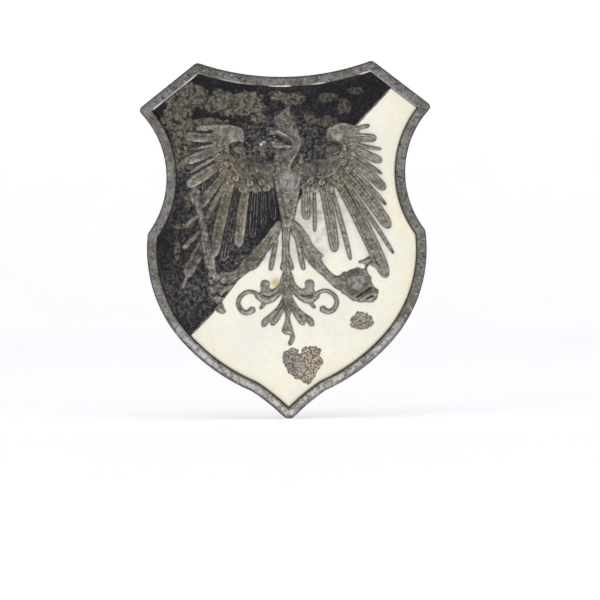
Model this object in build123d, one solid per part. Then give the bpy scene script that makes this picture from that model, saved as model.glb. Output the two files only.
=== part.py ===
from build123d import *

import os

# A shield-shaped enamelled cap badge with an eagle in relief and a hinged pin on its back.
# Millimetres. The badge stands as it is worn: +Z is the top of the shield, the face looks
# along -Y, and the origin lies on the flat back, on the shield's middle line, at mid height.

# The struck shield.
HALF_WIDTH = 14.12
TOP_TIP = (8.4, 17.08)
TOP_MIDDLE = (0.0, 15.6)
UPPER_CORNER = (HALF_WIDTH, 12.6)
WAIST = (11.45, 6.6)
SHOULDER = (13.3, 0.75)
SIDE_BULGE = (12.95, -4.4)
LOWER_SIDE = (10.1, -9.7)
LOWER_BULGE = (7.0, -12.5)
OGEE_START = (3.5, -14.5)
OGEE_HOLLOW = (1.9, -15.7)
BOTTOM_TIP = (0.0, -17.5)
CORNER_ROUND = 0.4
TIP_ROUND = 0.8
BACK_PLATE = 1.0
RIM_WIDTH = 1.0
RIM_HEIGHT = 0.8
RIM_ROUND = 0.25

# The wall that parts the black field, upper left, from the white field, lower right.
DIVIDE_WIDTH = 0.4
DIVIDE_LINE = [(-10.6, -10.3), (-7.2, -6.95), (6.8, 10.9), (11.2, 15.5)]

# Heights above the recess floor.
ENAMEL_HEIGHT = 0.5
EAGLE_HEIGHT = 0.62
BODY_HEIGHT = 0.8
SMALLEST_CELL = 0.08  # square millimetres
SIDES_PER_SPAN = 3

# A feather's outline: how far along its widest place and the start of its round tip lie, and
# its width there and at its root, as shares of its full width.
WIDEST_AT = 0.55
TIP_AT = 0.93
TIP_SHARE = 0.7
TIP_BOW_SHARE = 0.2
ROOT_SHARE = 0.8

# Flight feathers of the viewer's right wing: root, tip, width, sideways bow of the middle.
FEATHERS = [
    ((6.0, 10.4), (8.1, 10.85), 0.35, 0.0),
    ((5.8, 9.8), (8.7, 9.6), 0.75, 0.0),
    ((6.0, 9.4), (9.2, 8.55), 0.28, -0.1),
    ((5.8, 9.2), (9.2, 7.4), 0.75, -0.1),
    ((6.0, 8.5), (9.25, 6.15), 0.28, 0.0),
    ((5.8, 8.0), (9.5, 4.7), 0.85, 0.1),
    ((5.8, 7.2), (9.6, 3.15), 0.3, 0.1),
    ((5.2, 7.2), (9.9, 1.0), 1.05, 0.15),
    ((4.9, 6.6), (10.25, -1.5), 0.34, 0.1),
    ((4.6, 6.4), (9.55, -3.75), 1.25, 0.2),
    ((4.1, 5.6), (6.1, -2.05), 0.42, 0.1),
    ((3.4, 5.6), (4.6, -1.25), 0.95, 0.15),
    ((2.7, 5.4), (2.7, 0.7), 0.34, 0.0),
    ((1.9, 5.6), (1.9, 1.9), 0.85, 0.0),
]

# Closed curves through these points, (x, z).
WING_ARM = [
    (0.6, 7.3), (2.3, 7.4), (3.6, 7.9), (3.9, 9.2), (4.0, 10.5), (5.2, 11.1), (6.8, 10.8),
    (7.1, 9.4), (6.9, 7.4), (5.8, 5.5), (4.2, 4.8), (2.6, 4.6), (1.3, 4.9), (0.6, 6.0),
]
BODY = [
    (0.7, 7.4), (1.3, 6.1), (1.1, 4.6), (0.7, 2.4), (0.35, 0.6), (0.22, -1.5), (0.4, -4.0),
    (0.3, -6.5), (0.28, -8.2), (0.5, -8.9), (0.0, -9.1), (-0.55, -8.9), (-0.3, -8.2),
    (-0.32, -6.5), (-0.42, -4.0), (-0.45, -1.5), (-0.45, 0.6), (-0.6, 2.4), (-0.85, 4.6),
    (-1.0, 6.1), (-0.7, 7.4),
]
HEAD = [
    (0.7, 6.9), (1.4, 8.4), (1.6, 9.7), (0.9, 10.8), (-0.3, 11.0), (-1.3, 10.4), (-2.2, 9.8),
    (-2.5, 9.0), (-1.5, 9.2), (-1.0, 8.6), (-1.2, 7.7), (-0.9, 6.9),
]
CREST = [(-0.8, 10.8), (-1.0, 11.7), (-0.5, 12.2), (0.1, 12.9), (0.7, 12.0), (1.1, 11.3), (0.8, 10.7)]
LEG = [
    (0.4, 1.9), (1.1, 1.6), (1.9, 0.6), (2.7, -0.8), (3.55, -1.65), (3.2, -1.75), (3.8, -2.8),
    (4.6, -3.5), (5.4, -3.6), (5.4, -4.9), (4.6, -4.7), (3.4, -3.5), (2.3, -2.5), (1.6, -1.4),
    (1.0, -0.4), (0.4, 0.9),
]
LEAF = [
    (0.1, -3.6), (0.6, -4.4), (1.2, -4.9), (1.7, -4.7), (1.8, -4.1), (2.2, -3.85), (2.55, -4.1),
    (2.6, -4.8), (2.9, -5.2), (2.9, -5.6), (2.0, -6.15), (1.2, -5.9), (0.5, -5.2), (0.1, -4.6),
]
LOWER_LEAF = [
    (0.1, -5.9), (0.7, -6.6), (1.6, -7.4), (2.3, -7.7), (2.45, -8.3), (1.9, -8.1), (1.5, -7.9),
    (1.4, -8.3), (0.9, -7.7), (0.5, -7.2), (0.1, -7.0),
]
ORB = [
    (5.0, -4.9), (5.0, -3.5), (6.2, -2.9), (7.4, -2.9), (8.1, -3.9), (8.3, -4.8), (8.7, -5.3),
    (7.8, -6.15), (6.4, -5.85), (5.4, -5.4),
]
GRIP = [
    (-6.3, -3.3), (-6.1, -4.0), (-5.7, -4.9), (-6.2, -5.8), (-6.1, -6.8), (-6.7, -6.7), (-7.0, -6.0),
    (-7.5, -5.6), (-7.5, -4.6), (-7.6, -3.6), (-7.2, -2.9),
]

# Other pointed blades: root, tip, width, bow.
BARBS = [
    ((1.0, 0.0), (1.6, -2.95), 0.45, 0.0),
    ((0.1, -1.4), (0.55, -2.9), 0.35, 0.0),
    ((0.0, -8.6), (0.05, -10.0), 0.38, 0.0),
    ((2.0, -5.8), (2.75, -6.65), 0.3, 0.0),
]
SCEPTRE = ((-8.7, 4.9), (-7.0, -3.6), 0.85, 0.0)

# The curled tail feather: a stroke of this width along a round hook.
CURL_START = (2.8, -5.25)
CURL_TOP = (3.7, -4.97)
CURL_SIDE = (4.72, -6.1)
CURL_END = (3.45, -6.8)
CURL_WIDTH = 0.34
CURL_SIDES = 12

# The pin and its fittings, on the back. The needle lies along -Z when it is closed.
AXIS_STANDOFF = 2.6
HINGE_Z = 8.0
CATCH_Z = -7.6
BASE_THICKNESS = 0.4
HINGE_BASE_RADIUS = 3.0
CATCH_BASE_RADIUS = 2.5
SOLDER_REACH = 0.35
SOLDER_HEIGHT = 0.28
BLOCK_HALF_WIDTH = 1.6
BLOCK_BELOW = 1.3
BLOCK_ABOVE = 1.9
BLOCK_TOP = 3.4
SLOT_HALF_WIDTH = 0.7
SLOT_FLOOR = 0.9
EYE_RADIUS = 0.95
EYE_HALF_WIDTH = 0.62
EYE_GAP = 0.1
RIVET_RADIUS = 0.5
RIVET_PLAY = 0.05
RIVET_HEAD_RADIUS = 0.85
RIVET_HEAD_HEIGHT = 0.3
NEEDLE_RADIUS = 0.42
NECK_RADIUS = 0.6
NECK_START = 0.4
NECK_END = 1.8
TAPER_START_Z = -6.0
NEEDLE_END_Z = -10.2
POINT_RADIUS = 0.08
CLIP_SHEET = 0.32
CLIP_LENGTH = 1.8
CLIP_NECK = 0.48
CLIP_BULGE = 0.66
CLIP_FLARE = 0.72
CLIP_NECK_HEIGHT = 3.2
CLIP_TOP = 3.7

FACE = Plane.XZ  # its normal is -Y, the way the badge looks
FLOOR = Plane.XZ.offset(BACK_PLATE)


def mirrored(point):
    return (-point[0], point[1])


def closed_curve(points):
    """The smooth closed curve through the points, as a face with short straight sides."""
    curve = Spline(*points, periodic=True)
    sides = SIDES_PER_SPAN * len(points)
    return make_face(Polyline(*[curve @ (i / sides) for i in range(sides)], close=True))


def blade(root, tip, width, bow):
    """A feather: widest a little past its middle, round at its tip, bowed sideways."""
    start = Vector(*root)
    along = Vector(*tip) - start
    side = Vector(-along.Y, along.X).normalized()
    half = width / 2

    def at(share, sideways):
        return start + along * share + side * sideways

    outline = [
        at(0, ROOT_SHARE * half),
        at(WIDEST_AT, bow + half),
        at(TIP_AT, TIP_BOW_SHARE * bow + TIP_SHARE * half),
        at(1, 0),
        at(TIP_AT, TIP_BOW_SHARE * bow - TIP_SHARE * half),
        at(WIDEST_AT, bow - half),
        at(0, -ROOT_SHARE * half),
    ]
    return closed_curve(outline)


def mirror_sketch(sketch):
    return mirror(sketch, about=Plane.YZ)


def joined(faces):
    return Sketch() + faces


# Outlines ---------------------------------------------------------------------------------


def shield_outline():
    right = (
        Line(TOP_TIP, UPPER_CORNER)
        + ThreePointArc(UPPER_CORNER, WAIST, SHOULDER)
        + ThreePointArc(SHOULDER, SIDE_BULGE, LOWER_SIDE)
        + ThreePointArc(LOWER_SIDE, LOWER_BULGE, OGEE_START)
        + ThreePointArc(OGEE_START, OGEE_HOLLOW, BOTTOM_TIP)
    )
    top = ThreePointArc(mirrored(TOP_TIP), TOP_MIDDLE, TOP_TIP)
    outline = make_face(top + right + mirror(right, about=Plane.YZ))
    upper_corners = outline.vertices().filter_by(lambda v: v.Y > WAIST[1])
    outline = fillet(upper_corners, CORNER_ROUND)
    return fillet(outline.vertices().sort_by(Axis.Y)[0], TIP_ROUND)


def curl():
    path = Spline(CURL_START, CURL_TOP, CURL_SIDE, CURL_END)
    steps = [path @ (i / CURL_SIDES) for i in range(CURL_SIDES + 1)]
    return trace(Polyline(*steps), line_width=CURL_WIDTH)


def wing():
    return joined([closed_curve(WING_ARM)] + [blade(*feather) for feather in FEATHERS])


def tail_side():
    leaves = [closed_curve(LEAF), closed_curve(LOWER_LEAF), curl()]
    return joined(leaves + [blade(*barb) for barb in BARBS])


def eagle_outline():
    side = joined([wing(), closed_curve(LEG), tail_side()])
    middle = joined([closed_curve(BODY), closed_curve(HEAD), closed_curve(CREST)])
    held = joined([closed_curve(ORB), closed_curve(GRIP), blade(*SCEPTRE)])
    return joined([side, mirror_sketch(side), middle, held])


def raised_outline():
    """The parts of the eagle that stand highest."""
    arm = closed_curve(WING_ARM)
    return joined([arm, mirror_sketch(arm), closed_curve(BODY), closed_curve(HEAD)])


def black_side():
    """A plain area that covers everything above and left of the dividing line."""
    far = 3 * HALF_WIDTH
    corners = [*DIVIDE_LINE, (DIVIDE_LINE[-1][0], far), (-far, far), (-far, DIVIDE_LINE[0][1])]
    return make_face(Polyline(*corners, close=True))


def dividing_stroke():
    return trace(Polyline(*DIVIDE_LINE), line_width=DIVIDE_WIDTH)


def cells(area):
    """The area's separate pieces, without crumbs too small to hold enamel."""
    return [face for face in area.faces() if face.area > SMALLEST_CELL]


# The badge --------------------------------------------------------------------------------


def raised_from_floor(area, height):
    return extrude(FLOOR * area, height)


def struck_shield(outline, field, wall):
    plate = extrude(FACE * outline, BACK_PLATE)
    rim = raised_from_floor(outline - field, RIM_HEIGHT)
    shield = plate + rim
    front = shield.faces().filter_by(Axis.Y).sort_by(Axis.Y)[0]
    shield = fillet(front.outer_wire().edges(), RIM_ROUND)
    return shield + raised_from_floor(wall, ENAMEL_HEIGHT)


def eagle_relief(eagle, raised):
    low = raised_from_floor(eagle, EAGLE_HEIGHT)
    return low + raised_from_floor(raised, BODY_HEIGHT)


def enamel(area):
    return Part() + [raised_from_floor(cell, ENAMEL_HEIGHT) for cell in cells(area)]


# The fittings on the back -----------------------------------------------------------------


def base_disc(radius, z):
    """A round plate that a fitting stands on, soldered to the back."""
    place = Plane(origin=(0, 0, z), z_dir=(0, 1, 0))
    return extrude(place * Circle(radius), BASE_THICKNESS)


def solder_fillet(radius, z):
    place = Plane(origin=(0, 0, z), z_dir=(0, 1, 0))
    skirt = place * Cone(
        radius + SOLDER_REACH,
        radius,
        SOLDER_HEIGHT,
        align=(Align.CENTER, Align.CENTER, Align.MIN),
    )
    return skirt - base_disc(radius, z)


def rivet_axis(radius, half_length):
    place = Plane(origin=(0, AXIS_STANDOFF, HINGE_Z), z_dir=(1, 0, 0))
    return extrude(place * Circle(radius), half_length, both=True)


def box_between(low, high):
    size = [b - a for a, b in zip(low, high)]
    centre = [(a + b) / 2 for a, b in zip(low, high)]
    return Pos(*centre) * Box(*size)


def hinge_block():
    """A block slotted from below: the slot's closed upper end stops the needle's swing."""
    body = box_between(
        (-BLOCK_HALF_WIDTH, BASE_THICKNESS, HINGE_Z - BLOCK_BELOW),
        (BLOCK_HALF_WIDTH, BLOCK_TOP, HINGE_Z + BLOCK_ABOVE),
    )
    corners = body.edges().filter_by(Axis.X).group_by(Axis.Y)[-1]
    body = chamfer(corners, RIM_ROUND)
    slot = box_between(
        (-SLOT_HALF_WIDTH, SLOT_FLOOR, HINGE_Z - 2 * BLOCK_BELOW),
        (SLOT_HALF_WIDTH, 2 * BLOCK_TOP, HINGE_Z + EYE_RADIUS + EYE_GAP),
    )
    return body - slot - rivet_axis(RIVET_RADIUS, BLOCK_HALF_WIDTH)


def hinge_rivet():
    shank = rivet_axis(RIVET_RADIUS, BLOCK_HALF_WIDTH)
    head_place = Plane(origin=(BLOCK_HALF_WIDTH, AXIS_STANDOFF, HINGE_Z), z_dir=(1, 0, 0))
    head = head_place * Cone(
        RIVET_HEAD_RADIUS,
        RIVET_RADIUS,
        RIVET_HEAD_HEIGHT,
        align=(Align.CENTER, Align.CENTER, Align.MIN),
    )
    return shank + head + mirror(head, about=Plane.YZ)


def pin():
    """The needle with its eye: a neck, a straight shank and a long taper, turned about its axis."""
    profile = Polyline(
        (0, HINGE_Z - NECK_START),
        (NECK_RADIUS, HINGE_Z - NECK_START),
        (NEEDLE_RADIUS, HINGE_Z - NECK_END),
        (NEEDLE_RADIUS, TAPER_START_Z),
        (POINT_RADIUS, NEEDLE_END_Z),
        (0, NEEDLE_END_Z),
        close=True,
    )
    needle = revolve(FACE * make_face(profile), Axis.Z)
    needle = Pos(0, AXIS_STANDOFF, 0) * needle
    eye = rivet_axis(EYE_RADIUS, EYE_HALF_WIDTH)
    return needle + eye - rivet_axis(RIVET_RADIUS + RIVET_PLAY, 2 * EYE_HALF_WIDTH)


def catch_clip():
    """A spring clip of bent strip: two cheeks that neck in behind the needle and flare out."""
    bend = CLIP_SHEET / 2
    foot = BASE_THICKNESS + bend
    cheek = [
        (CLIP_FLARE + bend, CLIP_TOP),
        (CLIP_NECK + bend, CLIP_NECK_HEIGHT),
        (CLIP_BULGE + bend, AXIS_STANDOFF),
        (CLIP_BULGE + bend, foot + CLIP_BULGE),
        (CLIP_BULGE - bend, foot),
    ]
    strip = Polyline(*cheek, *[mirrored(point) for point in reversed(cheek)])
    place = Plane(origin=(0, 0, CATCH_Z), x_dir=(1, 0, 0), z_dir=(0, 0, 1))
    return extrude(place * trace(strip, line_width=CLIP_SHEET), CLIP_LENGTH / 2, both=True)


# Everything -------------------------------------------------------------------------------


def build_all():
    outline = shield_outline()
    field = offset(outline, -RIM_WIDTH, kind=Kind.INTERSECTION)
    eagle = eagle_outline() & field
    enamelled = field - eagle - dividing_stroke()
    wall = field - eagle - enamelled
    return {
        "shield": struck_shield(outline, field, wall),
        "eagle": eagle_relief(eagle, raised_outline() & field),
        "black_enamel": enamel(enamelled & black_side()),
        "white_enamel": enamel(enamelled - black_side()),
        "hinge_base": base_disc(HINGE_BASE_RADIUS, HINGE_Z),
        "hinge_solder": solder_fillet(HINGE_BASE_RADIUS, HINGE_Z),
        "hinge_block": hinge_block(),
        "hinge_rivet": hinge_rivet(),
        "pin": pin(),
        "catch_base": base_disc(CATCH_BASE_RADIUS, CATCH_Z),
        "catch_solder": solder_fillet(CATCH_BASE_RADIUS, CATCH_Z),
        "catch_clip": catch_clip(),
    }


os.makedirs("parts", exist_ok=True)
for name, shape in build_all().items():
    export_step(shape, f"parts/{name}.step")
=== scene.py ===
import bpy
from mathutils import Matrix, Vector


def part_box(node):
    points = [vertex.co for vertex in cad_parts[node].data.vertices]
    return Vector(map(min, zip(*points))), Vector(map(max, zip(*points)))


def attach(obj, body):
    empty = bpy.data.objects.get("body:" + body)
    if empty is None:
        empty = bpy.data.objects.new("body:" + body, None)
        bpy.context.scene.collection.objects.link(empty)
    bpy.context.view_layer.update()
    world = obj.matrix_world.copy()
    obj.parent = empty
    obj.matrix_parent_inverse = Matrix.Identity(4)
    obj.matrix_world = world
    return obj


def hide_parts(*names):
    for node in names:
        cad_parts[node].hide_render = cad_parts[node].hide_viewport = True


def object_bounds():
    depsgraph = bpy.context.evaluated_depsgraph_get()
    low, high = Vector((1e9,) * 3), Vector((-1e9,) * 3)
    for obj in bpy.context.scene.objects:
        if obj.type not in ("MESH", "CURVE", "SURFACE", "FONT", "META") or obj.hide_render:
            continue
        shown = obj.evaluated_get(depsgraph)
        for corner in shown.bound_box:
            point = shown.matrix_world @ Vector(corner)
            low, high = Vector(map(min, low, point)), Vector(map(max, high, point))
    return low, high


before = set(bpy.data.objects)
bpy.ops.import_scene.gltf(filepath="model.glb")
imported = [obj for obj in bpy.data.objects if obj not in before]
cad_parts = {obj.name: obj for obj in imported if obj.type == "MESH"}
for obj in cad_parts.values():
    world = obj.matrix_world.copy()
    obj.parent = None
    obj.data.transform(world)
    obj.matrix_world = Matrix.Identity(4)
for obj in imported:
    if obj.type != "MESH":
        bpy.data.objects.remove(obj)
cad_box = [list(corner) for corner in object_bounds()]

import math

import bmesh
import bpy
import numpy as np
from mathutils import Vector
from mathutils.geometry import delaunay_2d_cdt

# The looks of an enamelled cap badge. Shapes are worked out in millimetres, as heights above the
# flat back over the plane (x, z), and written as meshes in metres in the CAD's frame, where the
# face looks along -Y.

MM = 0.001
SHIELD_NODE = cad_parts["shield"]
RIM_TOP = -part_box("shield")[0].y / MM
FLOOR = -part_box("black_enamel")[1].y / MM
ENAMEL_TOP = -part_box("black_enamel")[0].y / MM
RIM_WIDTH = 1.0
RIM_ROUND = 0.25
INNER_ROUND = 0.14

# How far apart the points are on each grid.
SHIELD_PITCH = 0.06
ENAMEL_PITCH = 0.07
EAGLE_PITCH = 0.055
OUTLINE_PITCH = 0.1
OUTLINE_POINTS = 420

# The line between the black field, upper left, and the white one, lower right.
DIVIDE_X = [-10.6, -7.2, 6.8, 11.2]
DIVIDE_Z = [-10.3, -6.95, 10.9, 15.5]
DIVIDE_SLOPE = 0.65  # turns a height above the line into about a distance from it
DIVIDE_HALF_WIDTH = 0.1

# Heights above the back, of some of the eagle's parts, and how steep its sides are.
COVERT_TOP = ENAMEL_TOP + 0.15
UPPER_COVERT_TOP = ENAMEL_TOP + 0.19
ARM_TOP = ENAMEL_TOP + 0.2
SKIRT_SLOPE = 7.0
SKIRT_WIDTH = 0.2
NO_RELIEF = FLOOR - 0.5


# Numbers over the plane --------------------------------------------------------------------


class Grid:
    """Evenly spaced points (x, z) over a rectangle."""

    def __init__(self, low, high, pitch):
        self.low = low
        self.pitch = pitch
        across = np.arange(low[0], high[0] + pitch, pitch)
        up = np.arange(low[1], high[1] + pitch, pitch)
        self.x, self.z = np.meshgrid(across, up, indexing="ij")

    def sample(self, field, x, z):
        """The field's value between its grid points."""
        u = np.clip((x - self.low[0]) / self.pitch, 0, field.shape[0] - 1.001)
        v = np.clip((z - self.low[1]) / self.pitch, 0, field.shape[1] - 1.001)
        i = u.astype(int)
        j = v.astype(int)
        s = u - i
        t = v - j
        near = field[i, j] * (1 - t) + field[i, j + 1] * t
        far = field[i + 1, j] * (1 - t) + field[i + 1, j + 1] * t
        return near * (1 - s) + far * s


def noise(x, z, size, seed):
    """Smooth noise from -1 to 1, with lumps of this size, the same each run for the same seed."""
    count = 128
    lattice = np.random.default_rng(seed).uniform(-1, 1, (count, count))
    u = x / size
    v = z / size
    i = np.floor(u).astype(int)
    j = np.floor(v).astype(int)
    s = u - i
    t = v - j
    s = s * s * (3 - 2 * s)
    t = t * t * (3 - 2 * t)
    near = lattice[i % count, j % count] * (1 - t) + lattice[i % count, (j + 1) % count] * t
    far = lattice[(i + 1) % count, j % count] * (1 - t) + lattice[(i + 1) % count, (j + 1) % count] * t
    return near * (1 - s) + far * s


def rough_noise(x, z, size, seed):
    """Noise with finer and finer lumps on it."""
    total = noise(x, z, size, seed)
    total = total + 0.5 * noise(x, z, size / 2.1, seed + 1)
    total = total + 0.3 * noise(x, z, size / 4.3, seed + 2)
    return total / 1.8


def blurred(field, sigma):
    """The field smoothed over sigma grid steps."""
    u = np.fft.fftfreq(field.shape[0])[:, None]
    v = np.fft.rfftfreq(field.shape[1])[None, :]
    soft = np.exp(-2 * (math.pi * sigma) ** 2 * (u * u + v * v))
    return np.fft.irfft2(np.fft.rfft2(field) * soft, s=field.shape)


def step(low, high, value):
    """0 below low, 1 above high, and smooth between."""
    t = np.clip((value - low) / (high - low), 0, 1)
    return t * t * (3 - 2 * t)


def blob(x, z, centre, radius):
    """1 at the centre, fading to 0 over about twice the radius."""
    return np.exp(-(((x - centre[0]) ** 2 + (z - centre[1]) ** 2) / radius**2))


def smooth_line(points, steps=8, closed=False):
    """A smooth line through the points, as a run of short straight pieces."""
    points = [np.array(p, float) for p in points]
    count = len(points)
    spans = count if closed else count - 1
    line = []
    for k in range(spans):
        a, b, c, d = (
            points[(k + shift) % count] if closed else points[min(max(k + shift, 0), count - 1)]
            for shift in (-1, 0, 1, 2)
        )
        for t in np.arange(steps) / steps:
            bend = (2 * a - 5 * b + 4 * c - d) * t + (-a + 3 * b - 3 * c + d) * t * t
            line.append(b + 0.5 * t * ((c - a) + bend))
    if not closed:
        line.append(points[-1])
    return np.array(line)


def distance_to_line(x, z, line, closed):
    """Each point's distance to the line, and how far along it, from 0 to 1, its nearest place is."""
    starts = line if closed else line[:-1]
    ends = np.roll(line, -1, axis=0) if closed else line[1:]
    best = np.full(x.shape, np.inf)
    place = np.zeros(x.shape)
    for k, (a, b) in enumerate(zip(starts, ends)):
        run = b - a
        share = ((x - a[0]) * run[0] + (z - a[1]) * run[1]) / max(run @ run, 1e-12)
        share = np.clip(share, 0, 1)
        gap = np.hypot(x - a[0] - share * run[0], z - a[1] - share * run[1])
        nearer = gap < best
        best = np.where(nearer, gap, best)
        place = np.where(nearer, (k + share) / len(starts), place)
    return best, place


def within(x, z, loop):
    """True for the points inside the closed loop."""
    inside = np.zeros(x.shape, bool)
    for (x0, z0), (x1, z1) in zip(loop, np.roll(loop, -1, axis=0)):
        if z0 == z1:
            continue
        crosses = (z0 > z) != (z1 > z)
        inside ^= crosses & (x < x0 + (z - z0) * (x1 - x0) / (z1 - z0))
    return inside


def depth_inside(x, z, loop):
    """How far inside the closed loop each point is: below zero outside."""
    gap, _ = distance_to_line(x, z, loop, True)
    return np.where(within(x, z, loop), gap, -gap)


# The shield's outline ----------------------------------------------------------------------


def back_outline():
    """The loop round the CAD shield's flat back, evenly spaced, in millimetres."""
    mesh = SHIELD_NODE.data
    flat = set()
    for polygon in mesh.polygons:
        if all(abs(mesh.vertices[v].co.y) < 1e-7 for v in polygon.vertices):
            for a, b in polygon.edge_keys:
                flat ^= {(a, b)}
    follows = {}
    for a, b in flat:
        follows.setdefault(a, []).append(b)
        follows.setdefault(b, []).append(a)
    first = next(iter(follows))
    loop = [first, follows[first][0]]
    while loop[-1] != first:
        one, other = follows[loop[-1]]
        loop.append(other if one == loop[-2] else one)
    corners = np.array([(mesh.vertices[v].co.x, mesh.vertices[v].co.z) for v in loop]) / MM
    travel = np.concatenate([[0], np.cumsum(np.hypot(*np.diff(corners, axis=0).T))])
    places = np.linspace(0, travel[-1], OUTLINE_POINTS, endpoint=False)
    return np.stack([np.interp(places, travel, corners[:, k]) for k in (0, 1)], axis=1)


OUTLINE = back_outline()
MARGIN = 0.4
LOW = OUTLINE.min(axis=0) - MARGIN
HIGH = OUTLINE.max(axis=0) + MARGIN
PLAN = Grid(LOW, HIGH, OUTLINE_PITCH)
INSET = depth_inside(PLAN.x, PLAN.z, OUTLINE)


def inset(x, z):
    """How far in from the shield's edge a point is."""
    return PLAN.sample(INSET, x, z)


def black_side(x, z):
    """How far a point is on the black side of the dividing line."""
    return (z - np.interp(x, DIVIDE_X, DIVIDE_Z)) * DIVIDE_SLOPE


# Chips, where the white enamel is gone down to the stippled metal.
HEART_CHIP = [
    (-0.5, -11.4), (-0.2, -10.6), (0.6, -10.4), (1.15, -10.95), (1.5, -10.45), (2.3, -10.2),
    (3.1, -10.6), (3.0, -11.2), (3.35, -11.8), (2.8, -12.5), (2.55, -13.2), (1.95, -13.9),
    (1.1, -13.5), (0.1, -12.7),
]
OVAL_CHIP = [
    (6.0, -7.9), (6.5, -7.15), (7.2, -7.05), (8.1, -7.6), (8.0, -8.3), (7.2, -8.7), (6.3, -8.5),
]
CHIP_METAL = FLOOR + 0.36


def chip_depth(x, z):
    """How far inside a chip a point is, with a ragged edge."""
    depth = np.full(x.shape, -9.0)
    for points in (HEART_CHIP, OVAL_CHIP):
        depth = np.maximum(depth, depth_inside(x, z, smooth_line(points, 3, closed=True)))
    return depth + 0.14 * rough_noise(x, z, 0.5, 11) + 0.09 * noise(x, z, 0.19, 15)


# Meshes ------------------------------------------------------------------------------------


def relief_sheet(grid, keep, height):
    """The part of the grid where keep is above zero, as points, heights and four-sided faces.

    Corners that lie outside are drawn in to the line where keep is zero."""
    inside = keep > 0
    cell = inside[:-1, :-1] | inside[1:, :-1] | inside[1:, 1:] | inside[:-1, 1:]
    used = np.zeros(keep.shape, bool)
    for di, dj in ((0, 0), (1, 0), (1, 1), (0, 1)):
        used[di : di + cell.shape[0], dj : dj + cell.shape[1]] |= cell
    x = grid.x.copy()
    z = grid.z.copy()
    moved_x = np.zeros(keep.shape)
    moved_z = np.zeros(keep.shape)
    count = np.zeros(keep.shape)
    padded = np.pad(keep, 1, constant_values=-1.0)
    rows, columns = keep.shape
    for di in (-1, 0, 1):
        for dj in (-1, 0, 1):
            other = padded[1 + di : 1 + di + rows, 1 + dj : 1 + dj + columns]
            reaches = ~inside & (other > 0)
            share = np.where(reaches, -keep / np.where(reaches, other - keep, 1.0), 0.0)
            moved_x += np.where(reaches, di * grid.pitch * share, 0.0)
            moved_z += np.where(reaches, dj * grid.pitch * share, 0.0)
            count += reaches
    drawn = count > 0
    x[drawn] += moved_x[drawn] / count[drawn]
    z[drawn] += moved_z[drawn] / count[drawn]
    number = np.full(keep.shape, -1)
    number[used] = np.arange(used.sum())
    i, j = np.nonzero(cell)
    faces = np.stack([number[i, j], number[i + 1, j], number[i + 1, j + 1], number[i, j + 1]], axis=1)
    points_x = x[used]
    points_z = z[used]
    return points_x, points_z, height(points_x, points_z), faces


def new_piece(name, bm, body="badge"):
    """Makes the piece and lets it ride on a CAD body."""
    mesh = bpy.data.meshes.new(name)
    bm.to_mesh(mesh)
    bm.free()
    mesh.polygons.foreach_set("use_smooth", [True] * len(mesh.polygons))
    piece = bpy.data.objects.new(name, mesh)
    bpy.context.scene.collection.objects.link(piece)
    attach(piece, body)
    return piece


WELD = 0.003  # points closer than this become one


def sheet_bmesh(x, z, height, faces):
    """The sheet as a mesh in metres, its face towards -Y."""
    bm = bmesh.new()
    verts = [bm.verts.new((a * MM, -h * MM, b * MM)) for a, b, h in zip(x, z, height)]
    for corners in faces.tolist():
        bm.faces.new([verts[k] for k in corners])
    bmesh.ops.remove_doubles(bm, verts=bm.verts, dist=WELD * MM)
    return bm


def open_edges(bm):
    return [edge for edge in bm.edges if edge.is_boundary]


def ends_of(edges):
    """The points at the ends of these edges, each once, in the same order each run."""
    return list(dict.fromkeys(vert for edge in edges for vert in edge.verts))


def pushed_back(bm, edges, height, step_in=0.0):
    """Draws a wall back from the edges to this height, step_in nearer the middle.

    Returns the wall's far edges."""
    made = bmesh.ops.extrude_edge_only(bm, edges=edges)["geom"]
    far = [item for item in made if isinstance(item, bmesh.types.BMEdge) and item.is_boundary]
    verts = ends_of(far)
    x = np.array([vert.co.x for vert in verts]) / MM
    z = np.array([vert.co.z for vert in verts]) / MM
    if step_in:
        reach = 0.05
        slope_x = inset(x + reach, z) - inset(x - reach, z)
        slope_z = inset(x, z + reach) - inset(x, z - reach)
        length = np.maximum(np.hypot(slope_x, slope_z), 1e-6)
        x = x + step_in * slope_x / length
        z = z + step_in * slope_z / length
    for vert, a, b in zip(verts, x, z):
        vert.co = (a * MM, -height * MM, b * MM)
    return far


def filled(bm, edges):
    """Fills the loops these edges make with flat triangles, but not their holes."""
    verts = ends_of(edges)
    number = {vert: k for k, vert in enumerate(verts)}
    flat = [Vector((vert.co.x / MM, vert.co.z / MM)) for vert in verts]
    pairs = [(number[edge.verts[0]], number[edge.verts[1]]) for edge in edges]
    inside_with_holes = 4
    _, _, faces, sources, _, _ = delaunay_2d_cdt(flat, pairs, [], inside_with_holes, 1e-6)
    for face in faces:
        corners = [verts[sources[k][0]] for k in face if sources[k]]
        if len(set(corners)) == 3:
            bm.faces.new(corners)
    for edge in edges:
        edge.smooth = False


def attribute_values(piece, name, function):
    """Writes a number at each point of the piece, from its place in millimetres."""
    mesh = piece.data
    places = np.zeros(len(mesh.vertices) * 3)
    mesh.vertices.foreach_get("co", places)
    places = places.reshape(-1, 3) / MM
    values = function(places[:, 0], places[:, 2], -places[:, 1])
    layer = mesh.attributes.new(name, "FLOAT", "POINT")
    layer.data.foreach_set("value", values.astype(np.float32))


# The eagle ---------------------------------------------------------------------------------

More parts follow.
